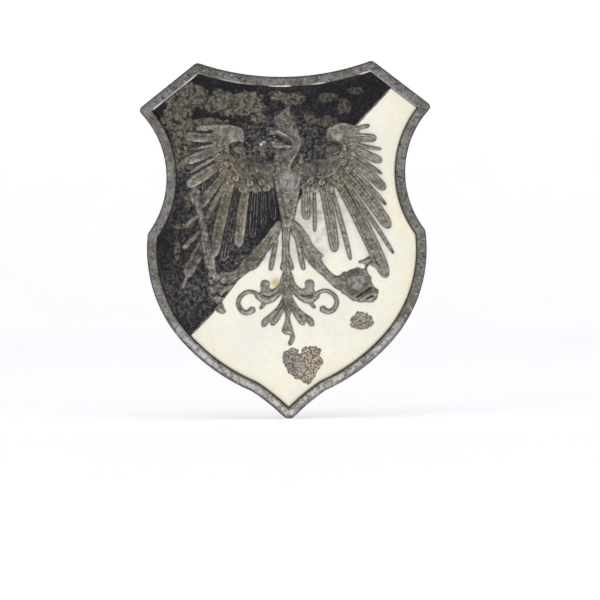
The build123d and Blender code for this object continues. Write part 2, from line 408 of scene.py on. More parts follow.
# The right wing's flight feathers: root, tip, width, sideways bow of the middle.
FEATHERS = [
    ((6.0, 10.4), (8.1, 10.85), 0.35, 0.0),
    ((5.8, 9.8), (8.7, 9.6), 0.75, 0.0),
    ((6.0, 9.4), (9.2, 8.55), 0.28, -0.1),
    ((5.8, 9.2), (9.2, 7.4), 0.75, -0.1),
    ((6.0, 8.5), (9.25, 6.15), 0.28, 0.0),
    ((5.8, 8.0), (9.5, 4.7), 0.85, 0.1),
    ((5.8, 7.2), (9.6, 3.15), 0.3, 0.1),
    ((5.2, 7.2), (9.9, 1.0), 1.05, 0.15),
    ((4.9, 6.6), (10.25, -1.5), 0.34, 0.1),
    ((4.6, 6.4), (9.55, -3.75), 1.25, 0.2),
    ((4.1, 5.6), (6.1, -2.05), 0.42, 0.1),
    ((3.4, 5.6), (4.6, -1.25), 0.95, 0.15),
    ((2.7, 5.4), (2.7, 0.7), 0.34, 0.0),
    ((1.9, 5.6), (1.9, 1.9), 0.85, 0.0),
]
THINNEST_BROAD = 0.6

# The left wing is worn flatter, and some of its feathers lie sunk in the black enamel.
LEFT_FEATHERS = [
    ((-6.0, 10.9), (-8.6, 10.75), 0.6, 0.0),
    ((-5.8, 9.9), (-9.7, 10.1), 1.0, 0.1),
    ((-6.0, 9.3), (-9.3, 8.75), 0.35, 0.0),
    ((-5.8, 9.0), (-9.75, 7.6), 1.0, 0.0),
    ((-6.0, 8.4), (-9.3, 6.5), 0.4, 0.0),
    ((-5.6, 7.7), (-9.5, 5.3), 1.1, 0.0),
    ((-5.6, 6.6), (-8.3, 3.2), 0.95, -0.1),
    ((-5.2, 6.4), (-8.3, 0.9), 0.6, -0.1),
    ((-5.0, 6.4), (-7.05, -1.6), 1.15, -0.15),
    ((-3.7, 5.6), (-4.65, -0.7), 1.05, -0.1),
    ((-8.2, 2.6), (-9.7, 1.5), 0.45, 0.0),
    ((-8.0, 1.2), (-10.0, -0.8), 0.5, 0.0),
    ((-7.8, 0.2), (-9.7, -3.4), 1.15, 0.0),
    ((-9.6, -3.4), (-10.1, -4.6), 0.4, 0.0),
]
LEFT_SUNKEN = [
    ((-6.1, 6.9), (-8.0, 4.9), 0.8, 0.0),
    ((-5.8, 5.2), (-7.7, 1.5), 0.85, 0.0),
    ((-4.6, 5.0), (-6.1, -2.0), 0.8, 0.0),
    ((-2.9, 5.2), (-3.3, 0.2), 0.75, 0.0),
    ((-2.15, 5.2), (-2.2, 1.2), 0.6, 0.0),
    ((-1.5, 5.2), (-1.2, 1.9), 0.65, 0.0),
]

# Small overlapping feathers over their roots: the tip of each, and its width.
COVERTS = [
    ((1.7, 4.7), 0.75), ((2.7, 4.55), 0.8), ((4.15, 4.6), 0.85), ((5.45, 5.15), 0.8),
    ((6.25, 6.45), 0.8), ((6.6, 7.95), 0.8), ((6.4, 9.4), 0.7),
]
UPPER_COVERTS = [
    ((2.2, 5.3), 0.6), ((3.4, 5.2), 0.65), ((4.9, 5.7), 0.65), ((5.8, 7.2), 0.65), ((5.8, 8.8), 0.6),
]
COVERT_ROOT = (3.9, 8.4)

# The right wing's arm, and the marks on it. The left's are the same, mirrored.
WING_ARM = [
    (0.6, 7.3), (2.3, 7.4), (3.6, 7.9), (3.9, 9.2), (4.0, 10.5), (5.2, 11.1), (6.8, 10.8),
    (7.1, 9.4), (6.9, 7.4), (5.8, 5.5), (4.2, 4.8), (2.6, 4.6), (1.3, 4.9), (0.6, 6.0),
]
ARM_FOLD = [(3.1, 5.95), (4.2, 6.1), (5.0, 6.9), (5.3, 7.9)]
ARM_BOSS = [(2.45, 7.1), (2.4, 6.5), (3.1, 6.1), (3.85, 6.4), (4.0, 7.0), (3.3, 7.3)]
ARM_HOOK = [(3.1, 9.7), (3.6, 9.05), (4.5, 9.25), (5.2, 9.0), (5.1, 8.4), (4.6, 8.1)]
KNOB = (4.9, 10.1)
KNOB_RADIUS = 0.75

# The breast, belly and tail stem in one, then the head, the legs and the tail's leaves.
BODY = [
    (0.7, 7.4), (1.45, 6.2), (1.3, 4.6), (0.85, 2.4), (0.35, 0.6), (0.22, -1.5), (0.4, -4.0),
    (0.42, -5.5), (0.3, -6.8), (0.2, -7.6), (0.5, -8.7), (0.35, -9.0), (-0.1, -9.05), (-0.55, -8.8),
    (-0.45, -8.4), (-0.2, -7.6), (-0.25, -6.8), (-0.45, -5.5), (-0.42, -4.0), (-0.45, -1.5),
    (-0.45, 0.6), (-0.6, 2.4), (-1.0, 4.6), (-1.2, 6.2), (-0.7, 7.4),
]
BREAST = (0.1, 5.6)
BREAST_EDGE = [
    (-1.15, 6.3), (-0.9, 5.4), (-0.45, 4.75), (0.1, 4.5), (0.75, 4.7), (1.15, 5.4), (1.4, 6.4),
]
HEAD = [
    (0.7, 6.9), (1.4, 8.4), (1.6, 9.7), (0.9, 10.8), (-0.3, 11.0), (-1.3, 10.4), (-2.2, 9.8),
    (-2.5, 9.0), (-1.5, 9.2), (-1.0, 8.6), (-1.2, 7.7), (-0.9, 6.9),
]
CREST = [(-0.8, 10.8), (-1.0, 11.7), (-0.5, 12.2), (0.1, 12.9), (0.7, 12.0), (1.1, 11.3), (0.8, 10.7)]
LEG = [
    (0.4, 1.9), (1.1, 1.6), (1.9, 0.6), (2.7, -0.8), (3.55, -1.65), (3.2, -1.75), (3.8, -2.8),
    (4.6, -3.5), (5.4, -3.6), (5.4, -4.9), (4.6, -4.7), (3.4, -3.5), (2.3, -2.5), (1.6, -1.4),
    (1.0, -0.4), (0.4, 0.9),
]
LEFT_LEG = [
    (-0.4, 1.9), (-1.1, 1.6), (-2.0, 0.5), (-2.9, -0.6), (-3.9, -1.6), (-5.0, -2.8), (-5.7, -3.4),
    (-6.0, -4.4), (-5.65, -4.7), (-4.9, -3.95), (-4.0, -3.25), (-3.1, -2.75), (-2.6, -2.3),
    (-1.9, -1.2), (-1.2, -0.4), (-0.6, 0.9),
]
LEAF = [
    (0.1, -2.9), (0.45, -3.3), (0.8, -4.25), (1.35, -4.75), (1.75, -4.6), (1.68, -4.15),
    (1.95, -3.88), (2.4, -3.92), (2.55, -4.3), (2.5, -4.85), (2.8, -5.2), (3.1, -5.4), (2.8, -5.75),
    (2.2, -6.15), (1.5, -6.0), (0.85, -5.5), (0.35, -4.9), (0.0, -4.6),
]
LOWER_LEAF = [
    (0.1, -5.2), (0.45, -5.5), (0.95, -6.4), (1.5, -6.95), (2.05, -7.35), (2.45, -7.75), (2.5, -8.3),
    (2.1, -8.25), (1.85, -7.9), (1.6, -7.85), (1.62, -8.2), (1.25, -8.15), (0.8, -7.6),
    (0.45, -6.9), (0.1, -6.4),
]
# The scroll beside each leaf, from its thick round end to its thin root on the leaf.
CURL = [
    (3.4, -6.7), (3.85, -6.97), (4.4, -6.75), (4.72, -6.1), (4.5, -5.4), (3.8, -4.95), (3.1, -5.05),
    (2.6, -5.45),
]
# What the eagle holds, with the claws round it, and a torn bit of metal above the orb.
ORB = [
    (5.0, -4.9), (5.0, -3.5), (6.2, -2.9), (7.4, -2.9), (8.1, -3.9), (8.3, -4.8), (8.7, -5.3),
    (7.8, -6.15), (6.4, -5.85), (5.4, -5.4),
]
CLAW = [
    (-5.0, -3.1), (-5.8, -3.0), (-6.4, -3.0), (-6.8, -4.2), (-6.4, -5.3), (-6.0, -5.2), (-5.6, -4.7),
    (-5.0, -4.0),
]
GRIP = [
    (-6.3, -3.3), (-6.1, -4.0), (-5.95, -4.9), (-6.2, -5.8), (-6.1, -6.8), (-6.7, -6.7), (-7.0, -6.0),
    (-7.5, -5.6), (-7.5, -4.6), (-7.6, -3.6), (-7.2, -2.9),
]
# Short feathers of the thigh and tail: root, tip, width, sideways bow.
BARBS = [
    ((1.0, 0.0), (1.6, -2.95), 0.45, 0.0),
    ((0.1, -1.4), (0.55, -2.9), 0.35, 0.0),
    ((2.1, -6.0), (2.65, -6.6), 0.28, 0.0),
]
SCEPTRE = ((-8.6, 4.3), (-7.0, -3.6), 0.8, 0.0)
SCEPTRE_HEAD = [(-9.2, 4.4), (-8.9, 5.2), (-8.3, 5.0), (-8.0, 4.4), (-8.2, 3.7), (-8.9, 3.6)]
TORN_BIT = [
    (6.9, -2.25), (7.4, -1.95), (7.9, -1.75), (8.5, -2.2), (8.65, -2.75), (8.2, -2.6), (7.9, -2.3),
    (7.6, -2.7), (7.4, -2.35),
]

EAGLE = Grid((-11.0, -10.6), (11.0, 13.6), EAGLE_PITCH)
WIDEST = 0.55  # how far along a feather it is widest


class Relief:
    """Heights over the eagle's grid, raised piece by piece, and beside them how worn each place is,
    painted highlight on the feathers' lips included.
    """

    def __init__(self):
        self.height = np.full(EAGLE.x.shape, NO_RELIEF)
        self.worn = np.zeros(EAGLE.x.shape)

    def window(self, low, high, margin=0.3):
        """The part of the grid round these corners."""
        i0, j0 = (max(int((low[k] - margin - EAGLE.low[k]) / EAGLE_PITCH), 0) for k in (0, 1))
        i1, j1 = (int((high[k] + margin - EAGLE.low[k]) / EAGLE_PITCH) + 2 for k in (0, 1))
        return slice(i0, i1), slice(j0, j1)

    def raise_to(self, part, height, edge):
        """Takes in a shape's height, with a steep skirt outside its edge."""
        shape = np.where(edge > 0, height, ENAMEL_TOP + SKIRT_SLOPE * edge)
        self.height[part] = np.maximum(self.height[part], np.where(edge > -SKIRT_WIDTH, shape, NO_RELIEF))

    def blade(
        self, root, tip, width, bow, profile, mirrored=False,
        lip_wear_and_highlight=0.0, lip_in=0.06, lip_from=0.7, one_side=False,
    ):
        """A long rounded shape from root to tip, such as a feather.

        Its lip is worn and given a painted highlight by lip_wear_and_highlight, lip_in from the edge and
        from lip_from along it."""
        root = np.array(root, float)
        tip = np.array(tip, float)
        if mirrored:
            root[0] = -root[0]
            tip[0] = -tip[0]
            bow = -bow
        low = np.minimum(root, tip) - width
        high = np.maximum(root, tip) + width
        part = self.window(low, high)
        x = EAGLE.x[part]
        z = EAGLE.z[part]
        length = np.hypot(*(tip - root))
        ahead = (tip - root) / length
        along = ((x - root[0]) * ahead[0] + (z - root[1]) * ahead[1]) / length
        side = (z - root[1]) * ahead[0] - (x - root[0]) * ahead[1]
        side = side - 4 * bow * np.clip(along, 0, 1) * (1 - np.clip(along, 0, 1))
        near_tip = np.clip((along - WIDEST) / (1 - WIDEST), 0, 1)
        to_widest = 0.8 + 0.2 * np.clip(along, 0, 1) / WIDEST
        half = 0.5 * width * np.where(along < WIDEST, to_widest, np.sqrt(1 - near_tip**7))
        edge = half - np.abs(side)
        edge = np.where(along > 1, -np.hypot((along - 1) * length, side), edge)
        edge = np.where(along < 0, np.minimum(edge, along * length), edge)
        height = profile(edge, side, np.abs(side) / np.maximum(half, 0.02), along)
        if lip_wear_and_highlight:
            shown = (height > self.height[part]) & (edge > 0)
            lip = np.exp(-(((edge - lip_in) / 0.06) ** 2)) * step(lip_from, lip_from + 0.15, along)
            if one_side:
                lip = lip * (side > 0)
            self.worn[part] = np.where(shown, lip_wear_and_highlight * lip, self.worn[part])
        self.raise_to(part, height, edge)

    def area(self, points, top, soft, dome=0.0, mirrored=False, ragged=0.0):
        """A raised area inside a smooth closed curve: soft is how wide its rounded edge is."""
        points = [(-x, z) if mirrored else (x, z) for x, z in points]
        loop = smooth_line(points, 4, closed=True)
        part = self.window(loop.min(axis=0), loop.max(axis=0))
        edge = depth_inside(EAGLE.x[part], EAGLE.z[part], loop)
        edge = edge + ragged * rough_noise(EAGLE.x[part], EAGLE.z[part], 0.45, 21)
        deep = np.maximum(edge, 0)
        height = top - (top - ENAMEL_TOP) * np.exp(-deep / soft) + dome * np.sqrt(deep)
        self.raise_to(part, height, edge)

    def stroke(self, points, width, top, taper=0.0, mirrored=False):
        """A rounded ridge along a smooth line. It narrows to its end by the share taper."""
        points = [(-x, z) if mirrored else (x, z) for x, z in points]
        line = smooth_line(points, 6)
        part = self.window(line.min(axis=0) - width, line.max(axis=0) + width)
        gap, place = distance_to_line(EAGLE.x[part], EAGLE.z[part], line, False)
        half = 0.5 * width * (1 - taper * place)
        edge = half - gap
        crown = np.sqrt(np.clip(1 - (gap / half) ** 2, 0, 1))
        self.raise_to(part, ENAMEL_TOP + (top - ENAMEL_TOP) * crown, edge)

    def ridge(self, points, width, lift, mirrored=False, worn=0.0):
        """Adds a low rounded ridge to what is there, or cuts a groove when lift is below zero."""
        points = [(-x, z) if mirrored else (x, z) for x, z in points]
        line = smooth_line(points, 6)
        part = self.window(line.min(axis=0) - 2 * width, line.max(axis=0) + 2 * width)
        gap, _ = distance_to_line(EAGLE.x[part], EAGLE.z[part], line, False)
        lump = np.exp(-((gap / (0.5 * width)) ** 2))
        shown = self.height[part] > ENAMEL_TOP
        self.height[part] += np.where(shown, lift * lump, 0)
        if worn:
            self.worn[part] = np.maximum(self.worn[part], worn * lump)

    def dome(self, centre, radius, lift, worn=0.0, squash=1.0):
        """Adds a round lump to what is there."""
        reach = 2 * np.array([radius, radius * squash])
        part = self.window(np.array(centre) - reach, np.array(centre) + reach)
        away = np.hypot(EAGLE.x[part] - centre[0], (EAGLE.z[part] - centre[1]) / squash) / radius
        lump = np.clip(1 - away**2, 0, 1)
        shown = self.height[part] > ENAMEL_TOP
        self.height[part] += np.where(shown, lift * lump, 0)
        if worn:
            self.worn[part] = np.maximum(self.worn[part], worn * step(0.1, 0.7, lump))

    def worn_patch(self, centre, half, worn):
        """Wears a ragged square patch."""
        x = EAGLE.x - centre[0]
        z = EAGLE.z - centre[1]
        away = (x**4 + z**4) ** 0.25 + 0.35 * rough_noise(EAGLE.x, EAGLE.z, 0.6, 23)
        patch = worn * step(half + 0.1, half - 0.15, away)
        self.worn = np.maximum(self.worn * step(0.1, 0.0, patch), patch)


def broad_feather(edge, side, across, along):
    """A raised border, a groove inside it, a rounded vane and a fine shaft."""
    deep = np.maximum(edge, 0)
    height = ENAMEL_TOP + 0.1 * (1 - np.exp(-deep / 0.06))
    height = height - 0.08 * np.exp(-(((deep - 0.28) / 0.07) ** 2))
    height = height + 0.03 * np.clip(1 - across**2, 0, 1)
    return height + 0.025 * np.exp(-((side / 0.06) ** 2)) * (along < 0.9)


def worn_feather(edge, side, across, along):
    """Rubbed almost flat, with a fine shaft."""
    deep = np.maximum(edge, 0)
    height = ENAMEL_TOP + 0.09 * (1 - np.exp(-deep / 0.07)) + 0.03 * np.clip(1 - across**2, 0, 1)
    return height - 0.04 * np.exp(-(((side + 0.12) / 0.06) ** 2)) * (along < 0.85)


def thin_feather(edge, side, across, along):
    """A plain rounded rib."""
    return ENAMEL_TOP + 0.03 + 0.09 * np.sqrt(np.clip(1 - across**2, 0, 1))


def sunken_feather(edge, side, across, along):
    """Only the border and the shaft stand above the enamel, which fills the rest."""
    border = 0.12 * np.exp(-(((edge - 0.08) / 0.06) ** 2))
    shaft = 0.09 * np.exp(-((side / 0.07) ** 2))
    return ENAMEL_TOP - 0.07 + np.maximum(border, shaft)


def covert_profile(top):
    """A small rounded feather whose lip stands up."""

    def profile(edge, side, across, along):
        deep = np.maximum(edge, 0)
        lip = 0.09 * np.exp(-(((deep - 0.07) / 0.06) ** 2)) * step(0.55, 0.8, along)
        vane = (top - ENAMEL_TOP) * (1 - np.exp(-deep / 0.05))
        return ENAMEL_TOP + vane + lip - 0.06 * step(0.75, 0.35, along)

    return profile


def limb(top):
    """A round rod."""

    def profile(edge, side, across, along):
        return ENAMEL_TOP + (top - ENAMEL_TOP) * np.sqrt(np.clip(1 - 0.85 * across**2, 0, 1))

    return profile


# How the lips of each wing's broad feathers are worn and given a painted highlight; on the left wing,
# only one side of each lip.
LEFT_LIP = {"lip_wear_and_highlight": 0.75, "lip_in": 0.09, "lip_from": 0.3, "one_side": True}
RIGHT_LIP = {"lip_wear_and_highlight": 0.5, "lip_in": 0.15, "lip_from": 0.25}


def add_feathers(relief, mirrored):
    for feather in LEFT_FEATHERS if mirrored else FEATHERS:
        width = feather[2]
        if width <= THINNEST_BROAD:
            relief.blade(*feather, thin_feather)
        elif mirrored:
            relief.blade(*feather, worn_feather, **LEFT_LIP)
        else:
            relief.blade(*feather, broad_feather, **RIGHT_LIP)
    for feather in LEFT_SUNKEN if mirrored else []:
        relief.blade(*feather, sunken_feather)


def add_wing(relief, mirrored):
    add_feathers(relief, mirrored)
    relief.area(WING_ARM, ENAMEL_TOP + 0.09, 0.1, mirrored=mirrored, ragged=0.12)
    for rows, top in ((COVERTS, COVERT_TOP), (UPPER_COVERTS, UPPER_COVERT_TOP)):
        for tip, width in rows:
            root = tuple(0.45 * a + 0.55 * b for a, b in zip(COVERT_ROOT, tip))
            relief.blade(root, tip, width, 0.0, covert_profile(top), mirrored, lip_wear_and_highlight=1.0)
    relief.area(ARM_BOSS, ARM_TOP, 0.12, mirrored=mirrored, ragged=0.08)
    relief.ridge(ARM_FOLD, 0.12, 0.05, mirrored, worn=0.35)
    relief.ridge(ARM_HOOK, 0.34, -0.2 if mirrored else -0.1, mirrored)
    side = -1 if mirrored else 1
    relief.dome((side * KNOB[0], KNOB[1]), KNOB_RADIUS, 0.1, worn=0.2 if mirrored else 0.6)


# Lines along the right leg, and the ridges and grooves on the tail's leaves: line, width, lift,
# how worn it is.
LEG_LINES = [
    ([(0.7, 1.3), (1.6, 0.0), (2.2, -1.4), (3.0, -2.4), (4.3, -3.7)], 0.16, -0.05, 0.0),
    ([(1.2, 1.2), (2.1, -0.1), (2.9, -1.3)], 0.16, -0.05, 0.0),
    ([(1.2, -0.3), (1.9, -1.5), (2.9, -2.8), (4.4, -4.2)], 0.16, -0.05, 0.0),
]
LEAF_LINES = [
    ([(0.35, -3.6), (0.8, -4.8), (1.6, -5.4), (2.4, -5.3)], 0.18, -0.06, 0.0),
    ([(1.2, -5.1), (2.0, -4.9), (2.15, -4.3)], 0.5, 0.03, 0.55),
    ([(1.1, -5.5), (2.0, -5.8), (2.7, -5.55)], 0.2, 0.05, 0.8),
    ([(0.3, -5.9), (0.9, -6.9), (1.4, -7.6)], 0.16, -0.06, 0.0),
    ([(1.2, -6.9), (1.9, -7.6), (2.3, -8.0)], 0.24, 0.04, 0.55),
    ([(0.7, -7.0), (1.0, -7.6), (1.3, -8.0)], 0.2, 0.03, 0.5),
]
# The same for the tail stem and the head.
STEM_LINES = [
    ([(-0.05, 1.2), (-0.1, -2.0), (0.0, -5.0), (0.0, -8.6)], 0.14, -0.06, 0.0),
    ([(0.3, -3.0), (0.25, -5.0), (0.4, -6.0)], 0.12, -0.05, 0.0),
    ([(-0.35, -3.0), (-0.3, -5.0), (-0.4, -6.0)], 0.12, -0.05, 0.0),
]
HEAD_LINES = [
    ([(-1.6, 9.95), (-0.8, 9.85), (0.0, 9.45), (0.5, 9.2)], 0.34, -0.2, 0.0),
    ([(-2.1, 9.6), (-1.6, 9.45), (-1.2, 9.6)], 0.2, -0.12, 0.0),
    ([(-0.9, 8.7), (0.0, 8.65), (0.6, 8.75)], 0.2, -0.08, 0.0),
    ([(-1.5, 10.4), (-0.9, 10.45), (0.0, 10.0), (0.6, 9.6), (0.8, 9.0)], 0.12, 0.1, 1.0),
    ([(-2.4, 9.35), (-1.9, 9.45), (-1.1, 9.3)], 0.12, 0.09, 0.95),
    ([(-0.6, 8.9), (-0.1, 9.0), (0.4, 8.95)], 0.12, 0.08, 0.9),
    ([(1.75, 9.3), (1.4, 8.3), (0.6, 6.9)], 0.26, -0.22, 0.0),
    ([(1.3, 8.9), (1.15, 8.4), (0.5, 7.5), (0.35, 6.9)], 0.12, 0.06, 0.85),
    ([(1.4, 10.2), (1.75, 10.0)], 0.14, 0.1, 1.0),
    ([(1.9, 9.5), (2.1, 9.0), (2.05, 8.5)], 0.12, 0.1, 0.7),
]
NECK_FEATHERS = [(-0.6, 8.2), (0.2, 8.3), (-0.9, 7.5), (-0.1, 7.5), (0.6, 7.7), (1.5, 7.6)]


def add_ridges(relief, table, mirrored=False):
    for line, width, lift, worn in table:
        relief.ridge(line, width, lift, mirrored, worn)


def add_legs_and_tail(relief, mirrored):
    if mirrored:
        relief.area(LEFT_LEG, ENAMEL_TOP + 0.11, 0.14, ragged=0.12)
    else:
        relief.area(LEG, ENAMEL_TOP + 0.13, 0.1, ragged=0.05)
    add_ridges(relief, LEG_LINES, mirrored)
    for root, tip, width, bow in BARBS:
        relief.blade(root, tip, width, bow, thin_feather, mirrored)
    relief.area(LEAF, ENAMEL_TOP + 0.13, 0.09, mirrored=mirrored, ragged=0.04)
    relief.area(LOWER_LEAF, ENAMEL_TOP + 0.12, 0.09, mirrored=mirrored, ragged=0.04)
    add_ridges(relief, LEAF_LINES, mirrored)
    relief.stroke(CURL, 0.46, ENAMEL_TOP + 0.14, taper=0.4, mirrored=mirrored)
    relief.stroke(CURL[:2], 0.62, ENAMEL_TOP + 0.14, taper=0.4, mirrored=mirrored)
    relief.ridge(CURL, 0.14, 0.02, mirrored, worn=0.6)


def add_body(relief):
    relief.area(BODY, ENAMEL_TOP + 0.15, 0.1, dome=0.05, ragged=0.04)
    relief.stroke([(0.3, -8.8), (0.45, -9.4), (0.2, -9.95)], 0.36, ENAMEL_TOP + 0.12)
    add_ridges(relief, STEM_LINES)
    for level, z in enumerate(np.arange(1.5, 5.2, 0.5)):
        for x in (-0.34, 0.0, 0.34) if level % 2 else (-0.17, 0.17):
            reach = x * (0.7 + 0.3 * level)
            root = (reach, z + 0.7)
            tip = (reach * 0.85, z - 0.25)
            relief.blade(root, tip, 0.4, 0.0, covert_profile(COVERT_TOP + 0.05), lip_wear_and_highlight=0.4)
    relief.dome(BREAST, 1.15, 0.04, squash=1.1)
    relief.worn_patch(BREAST, 0.75, 0.7)
    relief.ridge(BREAST_EDGE, 0.12, 0.05, worn=0.85)


def add_head(relief):
    relief.area(CREST, ENAMEL_TOP + 0.06, 0.2, ragged=0.42)
    relief.area(HEAD, ENAMEL_TOP + 0.1, 0.2, dome=0.03, ragged=0.35)
    add_ridges(relief, HEAD_LINES)
    relief.dome((-2.4, 9.2), 0.25, 0.08, worn=0.9)
    relief.dome((0.0, 12.0), 0.6, 0.08)
    for x, z in NECK_FEATHERS:
        root = (x, z + 0.6)
        tip = (x - 0.05, z - 0.3)
        relief.blade(root, tip, 0.55, 0.0, covert_profile(COVERT_TOP), lip_wear_and_highlight=0.3)


# The lumps of the worn grip: x, z, radius.
GRIP_LUMPS = [
    (-6.8, -3.4, 0.5), (-7.3, -3.9, 0.3), (-6.1, -3.8, 0.4), (-7.1, -4.7, 0.45),
    (-6.3, -4.9, 0.35), (-6.7, -5.6, 0.4), (-6.1, -6.0, 0.3), (-6.3, -6.7, 0.4),
]


def add_sceptre(relief):
    """A long rod with a ragged head, thicker towards the grip."""
    relief.blade(*SCEPTRE, limb(ENAMEL_TOP + 0.22))
    relief.area(SCEPTRE_HEAD, ENAMEL_TOP + 0.14, 0.12, ragged=0.25)
    relief.ridge([(-8.6, 4.2), (-7.7, -0.2), (-7.3, -2.4)], 0.12, 0.03, worn=0.5)
    relief.ridge([(-8.7, 2.2), (-7.9, 2.0)], 0.14, -0.06)
    relief.stroke([(-7.85, -0.2), (-7.35, -2.2)], 1.1, ENAMEL_TOP + 0.2)
    relief.ridge([(-7.9, -2.3), (-7.3, -2.6), (-6.8, -2.35)], 0.16, 0.08, worn=0.7)
    relief.ridge([(-8.1, 0.6), (-7.9, -1.0), (-7.6, -2.2)], 0.12, 0.0, worn=0.6)


def add_grip(relief):
    """The claw and the end of the rod, worn to small lumps."""
    relief.area(CLAW, ENAMEL_TOP + 0.1, 0.14, ragged=0.2)
    relief.ridge([(-4.6, -3.9), (-5.6, -4.2), (-6.4, -4.1)], 0.16, -0.07)
    relief.area(GRIP, ENAMEL_TOP + 0.09, 0.12, ragged=0.34)
    for x, z, radius in GRIP_LUMPS:
        relief.dome((x, z), radius, 0.07, worn=0.35)
        relief.ridge([(x - radius, z - 0.2), (x, z - radius - 0.1), (x + radius, z - 0.2)], 0.13, -0.07)
        relief.ridge([(x - 0.2, z + 0.1), (x + 0.1, z + 0.15)], 0.1, 0.04, worn=0.85)


def add_orb(relief):
    """A rough ball with a torn bit of metal above it."""
    relief.area(ORB, ENAMEL_TOP + 0.14, 0.12, dome=0.07, ragged=0.3)
    relief.dome((6.6, -4.1), 0.95, 0.06, worn=0.65)
    relief.ridge([(6.9, -6.0), (7.7, -5.4), (8.5, -5.2)], 0.2, 0.1)
    relief.ridge([(6.6, -5.6), (7.4, -5.1), (8.0, -4.7)], 0.2, -0.14)
    relief.ridge([(7.6, -5.75), (8.2, -5.5)], 0.14, -0.12)
    relief.area(TORN_BIT, ENAMEL_TOP + 0.1, 0.07, ragged=0.2)


def make_relief():
    """The whole eagle, roughened at last by fine noise and cut off at the rim."""
    relief = Relief()
    for mirrored in (False, True):
        add_wing(relief, mirrored)
        add_legs_and_tail(relief, mirrored)
    add_body(relief)
    add_head(relief)
    add_sceptre(relief)
    add_grip(relief)
    add_orb(relief)
    x = EAGLE.x
    z = EAGLE.z
    above = step(ENAMEL_TOP, ENAMEL_TOP + 0.08, relief.height)
    relief.height += above * 0.022 * rough_noise(x, z, 0.34, 31)
    relief.height += above * 0.012 * noise(x, z, 0.12, 35)
    relief.height += above * 0.08 * blob(x, z, (-6.6, -4.8), 1.8) * rough_noise(x, z, 0.5, 37)
    in_field = inset(x, z) - RIM_WIDTH
    relief.height = np.where(in_field > 0, relief.height, NO_RELIEF)
    return relief


RELIEF = make_relief()


def eagle_height(x, z):
    return EAGLE.sample(RELIEF.height, x, z)


def make_eagle():
    """The eagle as one closed piece, with its relief kept as marks for the material."""
    keep = RELIEF.height - FLOOR
    x, z, height, faces = relief_sheet(EAGLE, keep, eagle_height)
    bm = sheet_bmesh(x, z, np.maximum(height, FLOOR), faces)
    filled(bm, open_edges(bm))
    piece = new_piece("eagle_relief", bm)
    # hollow darkens the relief's hollows in the material: patina, with painted shade.
    hollow = blurred(RELIEF.height.clip(FLOOR), 3.5) - RELIEF.height.clip(FLOOR)
    attribute_values(piece, "hollow", lambda x, z, h: EAGLE.sample(hollow, x, z))
    attribute_values(piece, "worn", lambda x, z, h: EAGLE.sample(RELIEF.worn, x, z))
    # outline marks a dark line round the relief's edges: dirt, with painted shade.
    covered = blurred((RELIEF.height > ENAMEL_TOP + 0.03).astype(float), 1.6)
    attribute_values(piece, "outline", lambda x, z, h: step(0.94, 0.66, EAGLE.sample(covered, x, z)))
    attribute_values(piece, "brown", brown_places)
    attribute_values(piece, "dark", dark_places)
    attribute_values(piece, "rust", rust_places)
    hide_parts("eagle")
    return piece


def rust_places(x, z, height):
    """By the orb, and over the left wing's arm."""
    return blob(x, z, (5.5, -4.6), 0.9) + 0.5 * blob(x, z, (-5.5, 6.0), 3.4)


# Where the patina is brown, over the wings' roots and most of the left wing: centre, radius.
BROWN_PLACES = [
    ((5.4, 5.0), 2.2), ((-5.5, 6.5), 3.0), ((-3.9, 2.5), 2.2), ((-6.5, 1.0), 1.8),
    ((0.0, -6.8), 1.6), ((-2.6, -1.6), 1.8),
]


def brown_places(x, z, height):
    total = sum(blob(x, z, centre, radius) for centre, radius in BROWN_PLACES)
    return np.clip(total + 0.4 * rough_noise(x, z, 0.9, 41), 0, 1)


# Where the relief is dark and mottled: centre, radius, strength.
DARK_PLACES = [
    ((-0.6, 8.9), 2.4, 0.7), ((3.2, 7.6), 1.6, 0.8), ((-3.2, 7.8), 1.6, 0.7), ((4.0, 9.0), 1.2, 0.7),
    ((-1.9, 3.2), 1.6, 0.9), ((0.0, 12.2), 1.3, 0.5), ((-8.0, 0.5), 1.6, 0.5), ((-7.6, 3.6), 1.2, 0.5),
    ((-6.8, -5.0), 1.7, 0.6), ((6.6, -4.3), 2.0, 0.6), ((-9.0, 9.0), 2.2, 0.7),
    ((-9.3, -2.6), 1.6, 0.5), ((-8.3, -0.9), 1.1, 0.5), ((-2.4, 6.2), 1.4, 0.3),
    ((2.4, 6.2), 1.4, 0.3), ((-3.2, -2.2), 1.9, 0.6), ((-8.0, 2.0), 2.0, 0.35),
    ((-8.6, -2.0), 1.3, 0.4),
]


def dark_places(x, z, height):
    total = sum(strength * blob(x, z, centre, radius) for centre, radius, strength in DARK_PLACES)
    return np.clip(total + 0.2 * rough_noise(x, z, 0.7, 43), 0, 1)


# The shield --------------------------------------------------------------------------------


def rim_height(x, z):
    """The rim's section, from its rounded outer edge to the recess floor, with its dents."""
    depth = inset(x, z)
    out = np.clip(RIM_ROUND - depth, 0, RIM_ROUND)
    height = RIM_TOP - RIM_ROUND + np.sqrt(RIM_ROUND**2 - out**2)
    inner = np.clip(depth - (RIM_WIDTH - INNER_ROUND), 0, INNER_ROUND - 0.001)
    height = height - INNER_ROUND + np.sqrt(INNER_ROUND**2 - inner**2)
    dents = 0.016 * rough_noise(x, z, 0.8, 51) + 0.012 * noise(x, z, 0.22, 55)
    height = height + dents * step(0.02, 0.3, depth)
    wall = step(RIM_WIDTH, RIM_WIDTH + 0.05, depth)
    return height * (1 - wall) + FLOOR * wall


